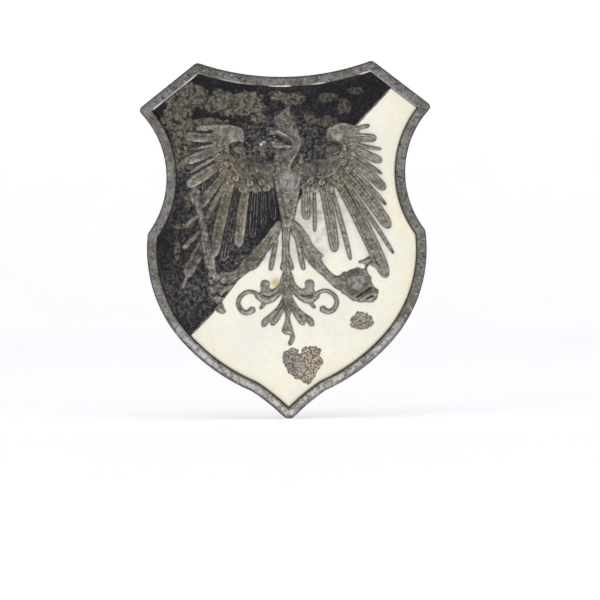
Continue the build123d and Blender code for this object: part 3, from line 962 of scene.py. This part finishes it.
def shield_height(x, z):
    """The rim's section, the wall's, and the stippled metal in the chips."""
    depth = inset(x, z)
    chip = CHIP_METAL + 0.035 * noise(x, z, 0.13, 61) + 0.03 * noise(x, z, 0.31, 62)
    chip = np.where(chip_depth(x, z) > -0.1, chip, FLOOR)
    away = np.abs(black_side(x, z))
    ridge = (ENAMEL_TOP + 0.015) * step(DIVIDE_HALF_WIDTH + 0.07, DIVIDE_HALF_WIDTH, away)
    inner = np.maximum(chip, np.maximum(ridge, FLOOR))
    return np.where(depth < RIM_WIDTH + 0.05, np.maximum(rim_height(x, z), inner), inner)


# The shield's side, from the rim back to the rounded back edge: height, and how far in it steps.
SIDE_STEPS = [(0.75, 0.0), (0.14, 0.0), (0.04, 0.04), (0.0, 0.1)]
NEAR_EDGE = 0.3  # an open edge closer than this to the outline belongs to the side


def make_shield():
    """The rim, the wall between the fields and the metal in the chips, on one closed plate."""
    grid = Grid(LOW, HIGH, SHIELD_PITCH)
    depth = inset(grid.x, grid.z)
    rim = np.minimum(depth, RIM_WIDTH + 0.06 - depth)
    chip = chip_depth(grid.x, grid.z) + 0.12
    wall = np.minimum(DIVIDE_HALF_WIDTH + 0.08 - np.abs(black_side(grid.x, grid.z)), depth - RIM_WIDTH)
    keep = np.maximum(rim, np.maximum(chip, wall))
    x, z, height, faces = relief_sheet(grid, keep, shield_height)
    bm = sheet_bmesh(x, z, height, faces)
    outer = [edge for edge in open_edges(bm) if inset_of(edge) < NEAR_EDGE]
    inner = [edge for edge in open_edges(bm) if inset_of(edge) >= NEAR_EDGE]
    for vert in ends_of(inner):
        vert.co.y = -FLOOR * MM
    filled(bm, inner)
    far = outer
    for height, step_in in SIDE_STEPS:
        far = pushed_back(bm, far, height, step_in)
    filled(bm, far)
    bmesh.ops.recalc_face_normals(bm, faces=bm.faces)
    piece = new_piece("shield_body", bm)
    attribute_values(piece, "inset", lambda x, z, h: inset(x, z))
    attribute_values(piece, "front", lambda x, z, h: step(0.3, 0.6, h))
    attribute_values(piece, "lower", lower_rim_highlight)
    attribute_values(piece, "glint", top_glint)
    attribute_values(piece, "gilt", gilt_places)
    attribute_values(piece, "chip", bare_metal)
    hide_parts("shield")
    return piece


def way_in_is_up(x, z):
    """1 on the edge below the field, -1 on the edge above it."""
    reach = 0.3
    across = inset(x + reach, z) - inset(x - reach, z)
    up = inset(x, z + reach) - inset(x, z - reach)
    return up / np.maximum(np.hypot(across, up), 1e-6)


def lower_rim_highlight(x, z, height):
    """1 on the rim's lower half, where a painted highlight lies."""
    return step(0.35, 0.8, way_in_is_up(x, z)) * step(-1.0, -5.0, z)


def bare_metal(x, z, height):
    """1 where a chip shows the metal."""
    return step(0, 0.1, chip_depth(x, z)) * (height > FLOOR + 0.1)


def gilt_places(x, z, height):
    """Gold is left on the right part of the larger chip, and a little less on the small one."""
    return step(0.6, 1.8, x) * (1 - 0.4 * step(4.5, 5.5, x)) * (0.6 + 0.4 * rough_noise(x, z, 0.8, 65))


def top_glint(x, z, height):
    """The bright line along the inside of the rim, under its top edge and at the upper corners."""
    line = np.exp(-(((inset(x, z) - 0.94) / 0.055) ** 2)) * (height > ENAMEL_TOP)
    broken = np.maximum(0.55 * step(6.5, 9.5, np.abs(x)), step(-0.2, 0.7, noise(x, z, 1.1, 67)))
    return line * broken * step(0.35, 0.75, -way_in_is_up(x, z)) * step(2.0, 10.0, z)


def inset_of(edge):
    middle = (edge.verts[0].co + edge.verts[1].co) / 2 / MM
    return float(inset(np.array([middle.x]), np.array([middle.z]))[0])


# The enamels -------------------------------------------------------------------------------

# Where the black enamel is corroded to a dull brown crust: centre, half sizes.
CRUSTS = [
    ((-10.3, 11.9), (1.4, 2.1)), ((-8.9, 14.0), (2.0, 1.1)), ((-9.7, 13.0), (1.2, 1.2)),
    ((-6.0, 13.2), (2.1, 1.2)), ((-3.9, 13.0), (2.2, 1.2)), ((-9.7, 10.4), (1.3, 1.6)),
    ((-0.8, 13.8), (0.8, 0.5)), ((0.9, 13.4), (1.2, 0.6)), ((4.0, 13.6), (1.1, 0.5)),
    ((5.6, 12.7), (0.6, 0.8)), ((6.8, 14.2), (0.8, 0.4)), ((3.9, 11.3), (1.1, 0.5)),
    ((-7.2, 11.2), (1.6, 0.6)), ((-10.0, 8.3), (0.8, 1.8)), ((-10.5, -0.9), (0.35, 1.1)),
    ((-9.4, 3.9), (0.5, 0.8)), ((2.4, 11.6), (0.6, 0.4)), ((-2.6, 11.6), (0.9, 0.5)),
    ((-9.9, 1.4), (1.0, 0.22)), ((-2.6, 8.3), (0.8, 0.6)),
]
# Where it is dull grey and pitted: round the head, between the left wing's feathers and below them.
DULL_PLACES = [
    ((0.0, 9.0), 3.6), ((3.0, 7.8), 2.4), ((-3.2, 7.8), 2.4),
    ((-7.2, 3.0), 3.8), ((-8.6, 8.0), 2.4), ((-4.4, -1.8), 1.8), ((-8.8, -5.0), 3.2),
]
MENISCUS_HEIGHT = 0.2
MENISCUS_REACH = 0.16


def crust(x, z):
    """From 0, glossy, to 1, crusted."""
    depth = np.full(x.shape, -1.0)
    for (cx, cz), (rx, rz) in CRUSTS:
        depth = np.maximum(depth, 1 - np.hypot((x - cx) / rx, (z - cz) / rz))
    depth = depth + 0.05 + 0.42 * rough_noise(x, z, 0.8, 71) + 0.16 * noise(x, z, 0.26, 75)
    return step(0.0, 0.16, depth) * (1 - 0.45 * step(1.0, 3.0, x))


def dull(x, z):
    """From 0, glossy, to 1, dull and pitted."""
    total = sum(blob(x, z, centre, radius) for centre, radius in DULL_PLACES)
    return np.clip(total + 0.3 * rough_noise(x, z, 1.1, 77), 0, 1)


def meniscus(x, z):
    """How far the enamel creeps up beside the rim."""
    from_rim = np.maximum(inset(x, z) - RIM_WIDTH, 0)
    return MENISCUS_HEIGHT * np.exp(-from_rim / MENISCUS_REACH)


def black_height(x, z):
    flaw = crust(x, z)
    height = ENAMEL_TOP + meniscus(x, z) + 0.012 * rough_noise(x, z, 1.6, 81)
    height = height + 0.05 * dull(x, z) * rough_noise(x, z, 0.42, 85)
    return height - flaw * (0.03 - 0.035 * rough_noise(x, z, 0.35, 83))


def white_height(x, z):
    lost = step(-0.05, 0.05, chip_depth(x, z))
    height = ENAMEL_TOP + 0.6 * meniscus(x, z) + 0.008 * rough_noise(x, z, 1.8, 91)
    return height * (1 - lost) + (FLOOR + 0.1) * lost


def make_enamel(name, side, height_at, replaced):
    """One field's enamel: side is 1 for the black side of the dividing line and -1 for the white."""
    grid = Grid(LOW, HIGH, ENAMEL_PITCH)
    x = grid.x
    z = grid.z
    depth = inset(x, z) - (RIM_WIDTH + 0.01)
    keep = np.minimum(depth, side * black_side(x, z) - 0.5 * DIVIDE_HALF_WIDTH)
    under_eagle = ENAMEL_TOP + 0.09 - blurred(eagle_height(x, z).clip(FLOOR), 0.6)
    keep = np.minimum(keep, under_eagle)
    keep = np.minimum(keep, -chip_depth(x, z) if side < 0 else keep)
    x, z, height, faces = relief_sheet(grid, keep, height_at)
    bm = sheet_bmesh(x, z, height, faces)
    far = pushed_back(bm, open_edges(bm), FLOOR)
    filled(bm, far)
    bmesh.ops.recalc_face_normals(bm, faces=bm.faces)
    piece = new_piece(name, bm)
    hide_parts(replaced)
    return piece


# Materials ---------------------------------------------------------------------------------


def from_screen(red, green, blue):
    """A colour as a screen shows it, 0 to 255, as light."""

    def light(value):
        share = value / 255
        return share / 12.92 if share <= 0.04045 else ((share + 0.055) / 1.055) ** 2.4

    return (light(red), light(green), light(blue), 1.0)


# Which sockets of a mix node carry colours.
MIX_COLOUR_A = 6
MIX_COLOUR_B = 7
MIX_COLOUR_OUT = 2


class Paint:
    """A Principled material and short ways to add nodes to it. Sizes are in millimetres."""

    def __init__(self, name, **plain):
        self.material = bpy.data.materials.new(name)
        self.material.use_nodes = True
        self.nodes = self.material.node_tree.nodes
        self.links = self.material.node_tree.links
        self.shader = self.nodes["Principled BSDF"]
        for socket, value in plain.items():
            self.shader.inputs[socket.replace("_", " ")].default_value = value
        self.place = self.nodes.new("ShaderNodeTexCoord").outputs["Object"]

    def link(self, value, socket):
        if isinstance(value, (int, float, tuple)):
            socket.default_value = value
        else:
            self.links.new(value, socket)

    def noise(self, size, detail=3.0, roughness=0.6, stretch=None):
        node = self.nodes.new("ShaderNodeTexNoise")
        node.inputs["Scale"].default_value = 1 / (size * MM)
        node.inputs["Detail"].default_value = detail
        node.inputs["Roughness"].default_value = roughness
        place = self.place
        if stretch:
            mapping = self.nodes.new("ShaderNodeMapping")
            mapping.inputs["Scale"].default_value = stretch
            self.links.new(place, mapping.inputs["Vector"])
            place = mapping.outputs["Vector"]
        self.links.new(place, node.inputs["Vector"])
        return node.outputs["Fac"]

    def attribute(self, name):
        node = self.nodes.new("ShaderNodeAttribute")
        node.attribute_name = name
        return node.outputs["Fac"]

    def spread(self, value, low, high, out_low=0.0, out_high=1.0):
        """Turns low to high into out_low to out_high, smoothly, and holds it outside them."""
        node = self.nodes.new("ShaderNodeMapRange")
        node.interpolation_type = "SMOOTHSTEP"
        node.inputs["From Min"].default_value = low
        node.inputs["From Max"].default_value = high
        node.inputs["To Min"].default_value = out_low
        node.inputs["To Max"].default_value = out_high
        self.link(value, node.inputs["Value"])
        return node.outputs["Result"]

    def times(self, a, b):
        return self.math("MULTIPLY", a, b)

    def math(self, operation, a, b):
        node = self.nodes.new("ShaderNodeMath")
        node.operation = operation
        self.link(a, node.inputs[0])
        self.link(b, node.inputs[1])
        return node.outputs["Value"]

    def mix(self, share, a, b):
        """Colour a where share is 0, and colour b where it is 1."""
        node = self.nodes.new("ShaderNodeMix")
        node.data_type = "RGBA"
        self.link(share, node.inputs["Factor"])
        self.link(a, node.inputs[MIX_COLOUR_A])
        self.link(b, node.inputs[MIX_COLOUR_B])
        return node.outputs[MIX_COLOUR_OUT]

    def bump(self, height, distance, strength=1.0, under=None):
        node = self.nodes.new("ShaderNodeBump")
        node.inputs["Distance"].default_value = distance * MM
        node.inputs["Strength"].default_value = strength
        self.link(height, node.inputs["Height"])
        if under is not None:
            self.links.new(under, node.inputs["Normal"])
        return node.outputs["Normal"]

    def finish(self, colour, roughness=None, normal=None):
        for socket, value in (("Base Color", colour), ("Roughness", roughness), ("Normal", normal)):
            if value is not None:
                self.link(value, self.shader.inputs[socket])
        return self.material


def old_back(paint):
    """The flat back: clouded, with fine upright scratches."""
    cloud = paint.spread(paint.noise(5.0, 5, 0.6), 0.35, 0.65)
    back = paint.mix(cloud, from_screen(96, 90, 80), from_screen(128, 122, 110))
    hairlines = paint.spread(paint.noise(0.5, 4, 0.7, stretch=(1.0, 1.0, 0.06)), 0.56, 0.66)
    return paint.mix(paint.times(hairlines, 0.35), back, from_screen(168, 162, 150))


def rim_highlight_band(paint, depth):
    """How much painted highlight lies along the middle of the rim's lower half."""
    band = paint.times(paint.spread(depth, 0.16, 0.4), paint.spread(depth, 0.84, 0.6))
    band = paint.times(band, paint.attribute("lower"))
    return paint.times(band, paint.spread(paint.noise(0.5, 5, 0.75), 0.42, 0.58, 0.1, 0.9))


def chip_colour(paint):
    """Stippled metal, with gold left on part of it."""
    speck = paint.spread(paint.noise(0.19, 4, 0.75), 0.42, 0.6)
    bare = paint.mix(paint.attribute("gilt"), from_screen(156, 149, 144), from_screen(198, 184, 150))
    colour = paint.mix(speck, from_screen(80, 73, 66), bare)
    pale = paint.spread(paint.noise(0.4, 3), 0.6, 0.7, 0, 0.6)
    return paint.mix(pale, colour, from_screen(196, 188, 178))


def struck_metal():
    """The shield's dark patina: pitted, lighter on its rim's lower half with a painted highlight, with
    painted shade on its outer edge and a painted glint under its top inner edge, speckled gold in the
    chips.
    """
    paint = Paint("struck_metal", Metallic=0.6)
    depth = paint.attribute("inset")
    front = paint.attribute("front")
    blotch = paint.spread(paint.noise(1.4, 4), 0.35, 0.65)
    colour = paint.mix(blotch, from_screen(90, 86, 80), from_screen(122, 119, 114))
    pits = paint.spread(paint.noise(0.34, 4, 0.7), 0.5, 0.64)
    grain = paint.spread(front, 0, 1, 0.35, 0.8)
    colour = paint.mix(paint.times(pits, grain), colour, from_screen(50, 46, 42))
    behind = paint.times(paint.spread(front, 1, 0), paint.spread(pits, 0, 1, 1, 0.7))
    colour = paint.mix(behind, colour, old_back(paint))
    # Painted shade on the rim's rounded outer edge.
    outer = paint.times(front, paint.spread(depth, 0.22, 0.06, 0, 0.8))
    colour = paint.mix(outer, colour, from_screen(54, 50, 46))
    # Painted highlight along the middle of the rim's lower half.
    colour = paint.mix(rim_highlight_band(paint, depth), colour, from_screen(190, 187, 183))
    flecks = paint.times(paint.spread(paint.noise(0.26, 3, 0.7), 0.58, 0.68), grain)
    flecks = paint.times(flecks, paint.spread(depth, 0.03, 0.14, 0.15, 0.75))
    colour = paint.mix(flecks, colour, from_screen(212, 208, 202))
    # A dark line along the rim's inner edge, where it meets the enamel.
    inner_dark_line = paint.times(paint.spread(depth, 0.82, 0.96), paint.spread(depth, 1.3, 1.1))
    colour = paint.mix(paint.times(inner_dark_line, 0.9), colour, from_screen(38, 33, 29))
    colour = paint.mix(paint.attribute("glint"), colour, from_screen(214, 213, 210))
    colour = paint.mix(paint.attribute("chip"), colour, chip_colour(paint))
    roughness = paint.spread(pits, 0.0, 1.0, 0.4, 0.62)
    normal = paint.bump(paint.noise(0.3, 4, 0.7), 0.03, 0.7)
    normal = paint.bump(paint.noise(0.9, 3), 0.04, 0.5, normal)
    return paint.finish(colour, roughness, normal)


def relief_metal():
    """The eagle's patina: dark in its hollows, with painted shade there and round its edges, brown over
    the wings, rubbed grey on its high places with painted highlight on the crests and the feathers' lips.
    """
    paint = Paint("relief_metal", Metallic=0.55)
    hollow = paint.attribute("hollow")
    blotch = paint.spread(paint.noise(0.9, 4, 0.65), 0.35, 0.65)
    colour = paint.mix(blotch, from_screen(96, 90, 79), from_screen(138, 131, 118))
    brown = paint.mix(blotch, from_screen(82, 76, 61), from_screen(114, 107, 88))
    colour = paint.mix(paint.attribute("brown"), colour, brown)
    warm = paint.times(paint.attribute("rust"), paint.spread(paint.noise(0.3, 4, 0.7), 0.5, 0.62))
    colour = paint.mix(paint.times(warm, 0.7), colour, from_screen(172, 140, 98))
    pits = paint.spread(paint.noise(0.3, 4, 0.7), 0.48, 0.64)
    colour = paint.mix(paint.times(pits, 0.75), colour, from_screen(52, 47, 43))
    flecks = paint.spread(paint.noise(0.22, 4, 0.75), 0.54, 0.7)
    colour = paint.mix(paint.times(flecks, 0.6), colour, from_screen(206, 200, 190))
    # Darker in the hollows: patina, with painted shade.
    colour = paint.mix(paint.spread(hollow, 0.0, 0.04, 0, 0.92), colour, from_screen(32, 29, 27))
    # A dark line round the relief's edges: dirt, with painted shade.
    outline = paint.times(paint.attribute("outline"), 0.85)
    colour = paint.mix(outline, colour, from_screen(36, 32, 29))
    # Lighter on the crests: wear, with painted highlight.
    patches = paint.spread(paint.noise(0.4, 3), 0.4, 0.6)
    high = paint.times(paint.spread(hollow, -0.02, -0.06), patches)
    colour = paint.mix(paint.times(high, 0.35), colour, from_screen(190, 187, 182))
    mottle = paint.spread(paint.noise(0.45, 4, 0.7), 0.36, 0.64, 1, 0.45)
    shade = paint.times(paint.attribute("dark"), mottle)
    colour = paint.mix(shade, colour, from_screen(42, 39, 40))
    # Rubbed bright where worn; on the feathers' lips this is painted highlight as well.
    worn = paint.attribute("worn")
    patchy = paint.times(worn, paint.spread(paint.noise(0.45, 4, 0.65), 0.42, 0.56, 0.12, 1))
    brightest = paint.spread(worn, 0.72, 0.95)
    bright = paint.mix(brightest, from_screen(146, 148, 148), from_screen(246, 243, 236))
    colour = paint.mix(patchy, colour, bright)
    roughness = paint.spread(patchy, 0.0, 1.0, 0.52, 0.34)
    normal = paint.bump(paint.noise(0.26, 4, 0.7), 0.03, 0.8)
    return paint.finish(colour, roughness, normal)


def black_glass(paint, dulled):
    """Glossy black with faint specks, and grey grit with chalky grains where it is dull."""
    speck = paint.spread(paint.noise(0.3, 4, 0.7), 0.52, 0.7)
    black = paint.mix(speck, from_screen(6, 5, 9), from_screen(40, 37, 42))
    grit = paint.spread(paint.noise(0.36, 4, 0.75), 0.42, 0.64)
    grey = paint.mix(grit, from_screen(9, 8, 12), from_screen(86, 82, 80))
    black = paint.mix(dulled, black, grey)
    chalk = paint.spread(paint.noise(0.24, 3, 0.7), 0.62, 0.72)
    chalk = paint.times(chalk, paint.spread(dulled, 0.2, 0.9, 0.1, 0.8))
    return paint.mix(chalk, black, from_screen(150, 144, 136))


def brown_crust(paint):
    mottle = paint.spread(paint.noise(0.32, 5, 0.75), 0.42, 0.6)
    brown = paint.mix(mottle, from_screen(26, 23, 21), from_screen(100, 93, 82))
    tint = paint.spread(paint.noise(1.3, 3), 0.4, 0.62)
    brown = paint.mix(paint.times(tint, 0.3), brown, from_screen(86, 82, 68))
    light_grain = paint.spread(paint.noise(0.26, 4, 0.7), 0.56, 0.66)
    return paint.mix(paint.times(light_grain, 0.5), brown, from_screen(158, 150, 138))


def black_enamel():
    """Old black glass: glossy and faintly pitted, with a dull brown crust over part of it."""
    paint = Paint("black_enamel", Metallic=0.0, Specular_IOR_Level=0.2)
    crusted = paint.attribute("crust")
    dulled = paint.attribute("dull")
    colour = paint.mix(crusted, black_glass(paint, dulled), brown_crust(paint))
    rough = paint.math("MAXIMUM", crusted, paint.times(dulled, 0.6))
    roughness = paint.spread(rough, 0, 1, 0.12, 0.65)
    normal = paint.bump(paint.noise(0.3, 4, 0.65), 0.02, 0.35)
    return paint.finish(colour, roughness, normal)


def white_enamel():
    """Cream glass with faint mottling, a few specks, painted shade between the wing feathers, and a dark
    line of dirt and painted shade close to the metal.
    """
    paint = Paint("white_enamel", Metallic=0.0, Roughness=0.28)
    cloud = paint.spread(paint.noise(2.6, 4), 0.36, 0.64)
    colour = paint.mix(cloud, from_screen(218, 214, 198), from_screen(211, 210, 199))
    patches = paint.spread(paint.noise(1.1, 4), 0.35, 0.65, 0.3, 1)
    warm = paint.times(paint.attribute("warm"), patches)
    colour = paint.mix(warm, colour, from_screen(218, 210, 186))
    fine = paint.spread(paint.noise(0.55, 4, 0.7), 0.42, 0.66)
    colour = paint.mix(paint.times(fine, 0.3), colour, from_screen(204, 197, 176))
    speck = paint.spread(paint.noise(0.3, 3), 0.68, 0.75)
    colour = paint.mix(paint.times(speck, 0.35), colour, from_screen(140, 132, 116))
    # Painted shade between the wing feathers, broken up by noise.
    shade_mottle = paint.spread(paint.noise(0.8, 4), 0.25, 0.6, 0.25, 0.9)
    feather_gap_shade = paint.times(paint.attribute("feather_gap_shade"), shade_mottle)
    colour = paint.mix(feather_gap_shade, colour, from_screen(184, 183, 180))
    crumbs = paint.spread(paint.noise(0.6, 5, 0.7), 0.36, 0.6)
    tan = paint.times(paint.attribute("root_dirt"), crumbs)
    colour = paint.mix(tan, colour, from_screen(140, 130, 106))
    # A dark line of dirt and painted shade where the enamel meets the metal.
    colour = paint.mix(paint.attribute("edge_dirt_and_shade"), colour, from_screen(80, 72, 60))
    colour = paint.mix(paint.attribute("stain"), colour, from_screen(176, 158, 106))
    normal = paint.bump(paint.noise(0.5, 4, 0.6), 0.01, 0.6)
    return paint.finish(colour, None, normal)


def fitting_metal():
    """The back fittings' grey brass, tarnished unevenly."""
    paint = Paint("fitting_metal", Metallic=0.9)
    tarnish = paint.spread(paint.noise(0.9, 5, 0.65), 0.36, 0.64)
    colour = paint.mix(tarnish, from_screen(96, 90, 80), from_screen(150, 142, 124))
    spot = paint.spread(paint.noise(0.22, 3), 0.58, 0.68)
    colour = paint.mix(paint.times(spot, 0.6), colour, from_screen(58, 52, 45))
    roughness = paint.spread(tarnish, 0, 1, 0.55, 0.36)
    normal = paint.bump(paint.noise(0.15, 4), 0.012, 0.7)
    return paint.finish(colour, roughness, normal)


def rivet_brass():
    """Yellow brass, rubbed bright in patches."""
    paint = Paint("rivet_brass", Metallic=1.0)
    rub = paint.spread(paint.noise(0.4, 4), 0.4, 0.62)
    colour = paint.mix(rub, from_screen(138, 116, 74), from_screen(196, 172, 118))
    normal = paint.bump(paint.noise(0.1, 3), 0.008, 0.6)
    return paint.finish(colour, paint.spread(rub, 0, 1, 0.46, 0.28), normal)


def needle_steel():
    """Drawn wire: fine lines along its length, with rust freckles."""
    paint = Paint("needle_steel", Metallic=1.0)
    lines = paint.noise(0.08, 3, 0.6, stretch=(1.0, 1.0, 0.05))
    bright = paint.spread(lines, 0.35, 0.65)
    colour = paint.mix(bright, from_screen(150, 150, 148), from_screen(186, 186, 184))
    rust = paint.spread(paint.noise(0.35, 5, 0.7), 0.58, 0.68)
    colour = paint.mix(paint.times(rust, 0.75), colour, from_screen(106, 76, 54))
    return paint.finish(colour, paint.spread(rust, 0, 1, 0.26, 0.6), paint.bump(lines, 0.006, 0.6))


def clip_metal():
    """Rolled spring strip, with fine lines along it and brown stains."""
    paint = Paint("clip_metal", Metallic=1.0)
    lines = paint.noise(0.12, 3, 0.6, stretch=(0.06, 1.0, 1.0))
    stain = paint.spread(paint.noise(0.8, 4), 0.42, 0.66)
    bright = paint.spread(lines, 0.35, 0.65)
    colour = paint.mix(bright, from_screen(132, 130, 126), from_screen(164, 162, 158))
    colour = paint.mix(paint.times(stain, 0.5), colour, from_screen(92, 84, 72))
    return paint.finish(colour, paint.spread(stain, 0, 1, 0.32, 0.52), paint.bump(lines, 0.006, 0.6))


def solder():
    """Dull soft solder, cloudy grey."""
    paint = Paint("solder", Metallic=0.9)
    cloud = paint.spread(paint.noise(0.45, 4), 0.36, 0.64)
    colour = paint.mix(cloud, from_screen(140, 141, 141), from_screen(172, 173, 172))
    normal = paint.bump(paint.noise(0.25, 4), 0.03, 0.9)
    return paint.finish(colour, paint.spread(cloud, 0, 1, 0.5, 0.38), normal)


def dress(piece, material):
    piece.data.materials.clear()
    piece.data.materials.append(material)


def dress_node(name, material):
    """Gives a CAD node a better material in its own slots."""
    for material_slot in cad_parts[name].material_slots:
        material_slot.material = material


# Where the tan dirt lies between the feathers and by the leg: centre, radius, strength.
ROOT_DIRT = [((3.4, 3.6), 2.4, 0.9), ((6.9, 5.4), 1.5, 0.8), ((2.3, -0.6), 1.4, 0.6)]


def white_feather_gap_shade(x, z, height):
    """Painted shade: grey between the wing feathers, where the eagle is close on both sides."""
    covered = (RELIEF.height > ENAMEL_TOP).astype(float)
    return step(0.15, 0.6, EAGLE.sample(blurred(covered, 11), x, z)) * step(-2.8, -1.6, z)


def root_dirt(x, z, height):
    return sum(strength * blob(x, z, centre, radius) for centre, radius, strength in ROOT_DIRT)


def white_edge_dirt_and_shade(x, z, height):
    """A thin dark line of dirt and painted shade where the white enamel meets the eagle or the rim."""
    covered = (RELIEF.height > ENAMEL_TOP).astype(float)
    near = step(0.1, 0.45, EAGLE.sample(blurred(covered, 2.0), x, z))
    rim = step(0.16, 0.02, inset(x, z) - RIM_WIDTH)
    return np.clip(0.75 * near + 0.6 * rim, 0, 1)


def white_warmth(x, z, height):
    """Yellower towards the rim."""
    return 0.8 * step(2.6, 0.2, inset(x, z) - RIM_WIDTH)


def white_stain(x, z, height):
    return np.clip(1.2 * blob(x, z, (-1.1, -4.1), 0.42), 0, 0.9) + 0.25 * blob(x, z, (6.9, 4.4), 0.7)


def dress_everything():
    dress(shield_body, struck_metal())
    dress(eagle_relief, relief_metal())
    dress(black_field, black_enamel())
    dress(white_field, white_enamel())
    fitting = fitting_metal()
    for name in ("hinge_base", "hinge_block", "catch_base"):
        dress_node(name, fitting)
    joint_metal = solder()
    for name in ("hinge_solder", "catch_solder"):
        dress_node(name, joint_metal)
    dress_node("hinge_rivet", rivet_brass())
    dress_node("pin", needle_steel())
    dress_node("catch_clip", clip_metal())


# Floor, light and camera -------------------------------------------------------------------


# The backdrop, in metres.
FLOOR_RADIUS = 0.9
FLOOR_BEND = 0.3
FLOOR_MIDDLE = 0.3
WALL_TOP = 0.5
BEND_STEPS = 12
FLOOR_SIDES = 96


def backdrop_section():
    """The floor's section from its flat middle to the wall's top: distance from the middle, height."""
    flat = FLOOR_RADIUS - FLOOR_BEND
    section = [(FLOOR_MIDDLE, 0.0), (flat, 0.0)]
    for k in range(1, BEND_STEPS + 1):
        turn = k / BEND_STEPS * math.pi / 2
        section.append((flat + FLOOR_BEND * math.sin(turn), FLOOR_BEND * (1 - math.cos(turn))))
    section.append((FLOOR_RADIUS, WALL_TOP))
    return section


def make_stage():
    """A pale floor that curves up into a round wall."""
    floor_z = cad_box[0][2]
    bm = bmesh.new()
    rings = []
    for away, up in backdrop_section():
        ring = []
        for k in range(FLOOR_SIDES):
            angle = 2 * math.pi * k / FLOOR_SIDES
            ring.append(bm.verts.new((away * math.cos(angle), away * math.sin(angle), floor_z + up)))
        rings.append(ring)
    bm.faces.new(rings[0])
    for low, high in zip(rings, rings[1:]):
        for k in range(FLOOR_SIDES):
            m = (k + 1) % FLOOR_SIDES
            bm.faces.new((low[k], high[k], high[m], low[m]))
    mesh = bpy.data.meshes.new("backdrop")
    bm.to_mesh(mesh)
    bm.free()
    mesh.polygons.foreach_set("use_smooth", [True] * len(mesh.polygons))
    backdrop = bpy.data.objects.new("backdrop", mesh)
    bpy.context.scene.collection.objects.link(backdrop)
    paint = Paint("pale_paper", Roughness=0.9, Emission_Color=(1, 1, 1, 1), Emission_Strength=0.42)
    fibre = paint.spread(paint.noise(40, 3), 0.3, 0.7)
    dress(backdrop, paint.finish(paint.mix(fibre, (0.9, 0.9, 0.93, 1), (0.92, 0.92, 0.95, 1))))


# Each soft lamp: place, width and height in metres, and power in watts. All face the origin.
LEFT_SOFTBOX = ((-0.5, -0.42, 0.22), 0.35, 0.35, 0.48)
RIGHT_SOFTBOX = ((0.5, -0.42, 0.22), 0.35, 0.35, 0.44)
TOP_SOFTBOX = ((0, -0.1, 0.6), 0.5, 0.4, 0.75)
LOW_SOFTBOX = ((0.06, -0.26, -0.3), 0.22, 0.16, 0.75)
SKY_STRENGTH = 0.22


def add_lamp(name, place, width, height, power):
    lamp = bpy.data.lights.new(name, "AREA")
    lamp.shape = "RECTANGLE"
    lamp.size = width
    lamp.size_y = height
    lamp.energy = power
    holder = bpy.data.objects.new(name, lamp)
    holder.location = place
    holder.rotation_euler = (-Vector(place)).to_track_quat("-Z", "Y").to_euler()
    holder.visible_camera = False
    bpy.context.scene.collection.objects.link(holder)
    return holder


def add_lights():
    """Soft lamps round the front. The one below the floor lights only the four front pieces."""
    add_lamp("left_softbox", *LEFT_SOFTBOX)
    add_lamp("right_softbox", *RIGHT_SOFTBOX)
    add_lamp("top_softbox", *TOP_SOFTBOX)
    low = add_lamp("low_softbox", *LOW_SOFTBOX)
    front = bpy.data.collections.new("lit_from_below")
    for piece in (shield_body, eagle_relief, black_field, white_field):
        front.objects.link(piece)
    low.light_linking.receiver_collection = front
    low.light_linking.blocker_collection = front
    world = bpy.data.worlds.new("soft_sky")
    world.use_nodes = True
    sky = world.node_tree.nodes["Background"]
    sky.inputs["Color"].default_value = (0.97, 0.97, 1.0, 1)
    sky.inputs["Strength"].default_value = SKY_STRENGTH
    bpy.context.scene.world = world


# The camera looks square at the face. Millimetres, and degrees of roll.
FRAME_WIDTH = 57.4  # how much of the plane of the face is in the picture
AIM_X = 1.2
AIM_Z = -5.8
LENS = 120
ROLL = 0.75


def add_camera():
    camera = bpy.data.cameras.new("camera")
    camera.lens = LENS
    half = math.atan(camera.sensor_width / 2 / LENS)
    away = FRAME_WIDTH / 2 / math.tan(half) + RIM_TOP
    holder = bpy.data.objects.new("camera", camera)
    holder.location = (AIM_X * MM, -away * MM, AIM_Z * MM)
    holder.rotation_euler = (math.radians(90), math.radians(ROLL), 0)
    camera.clip_start = 0.005
    camera.clip_end = 10
    bpy.context.scene.collection.objects.link(holder)
    bpy.context.scene.camera = holder


shield_body = make_shield()
eagle_relief = make_eagle()
black_field = make_enamel("black_field", 1, black_height, "black_enamel")
white_field = make_enamel("white_field", -1, white_height, "white_enamel")
attribute_values(black_field, "crust", lambda x, z, h: crust(x, z))
attribute_values(black_field, "dull", lambda x, z, h: dull(x, z))
attribute_values(white_field, "feather_gap_shade", white_feather_gap_shade)
attribute_values(white_field, "edge_dirt_and_shade", white_edge_dirt_and_shade)
attribute_values(white_field, "root_dirt", root_dirt)
attribute_values(white_field, "stain", white_stain)
attribute_values(white_field, "warm", white_warmth)
dress_everything()
make_stage()
add_lights()
add_camera()
bpy.context.scene.view_settings.view_transform = "Standard"
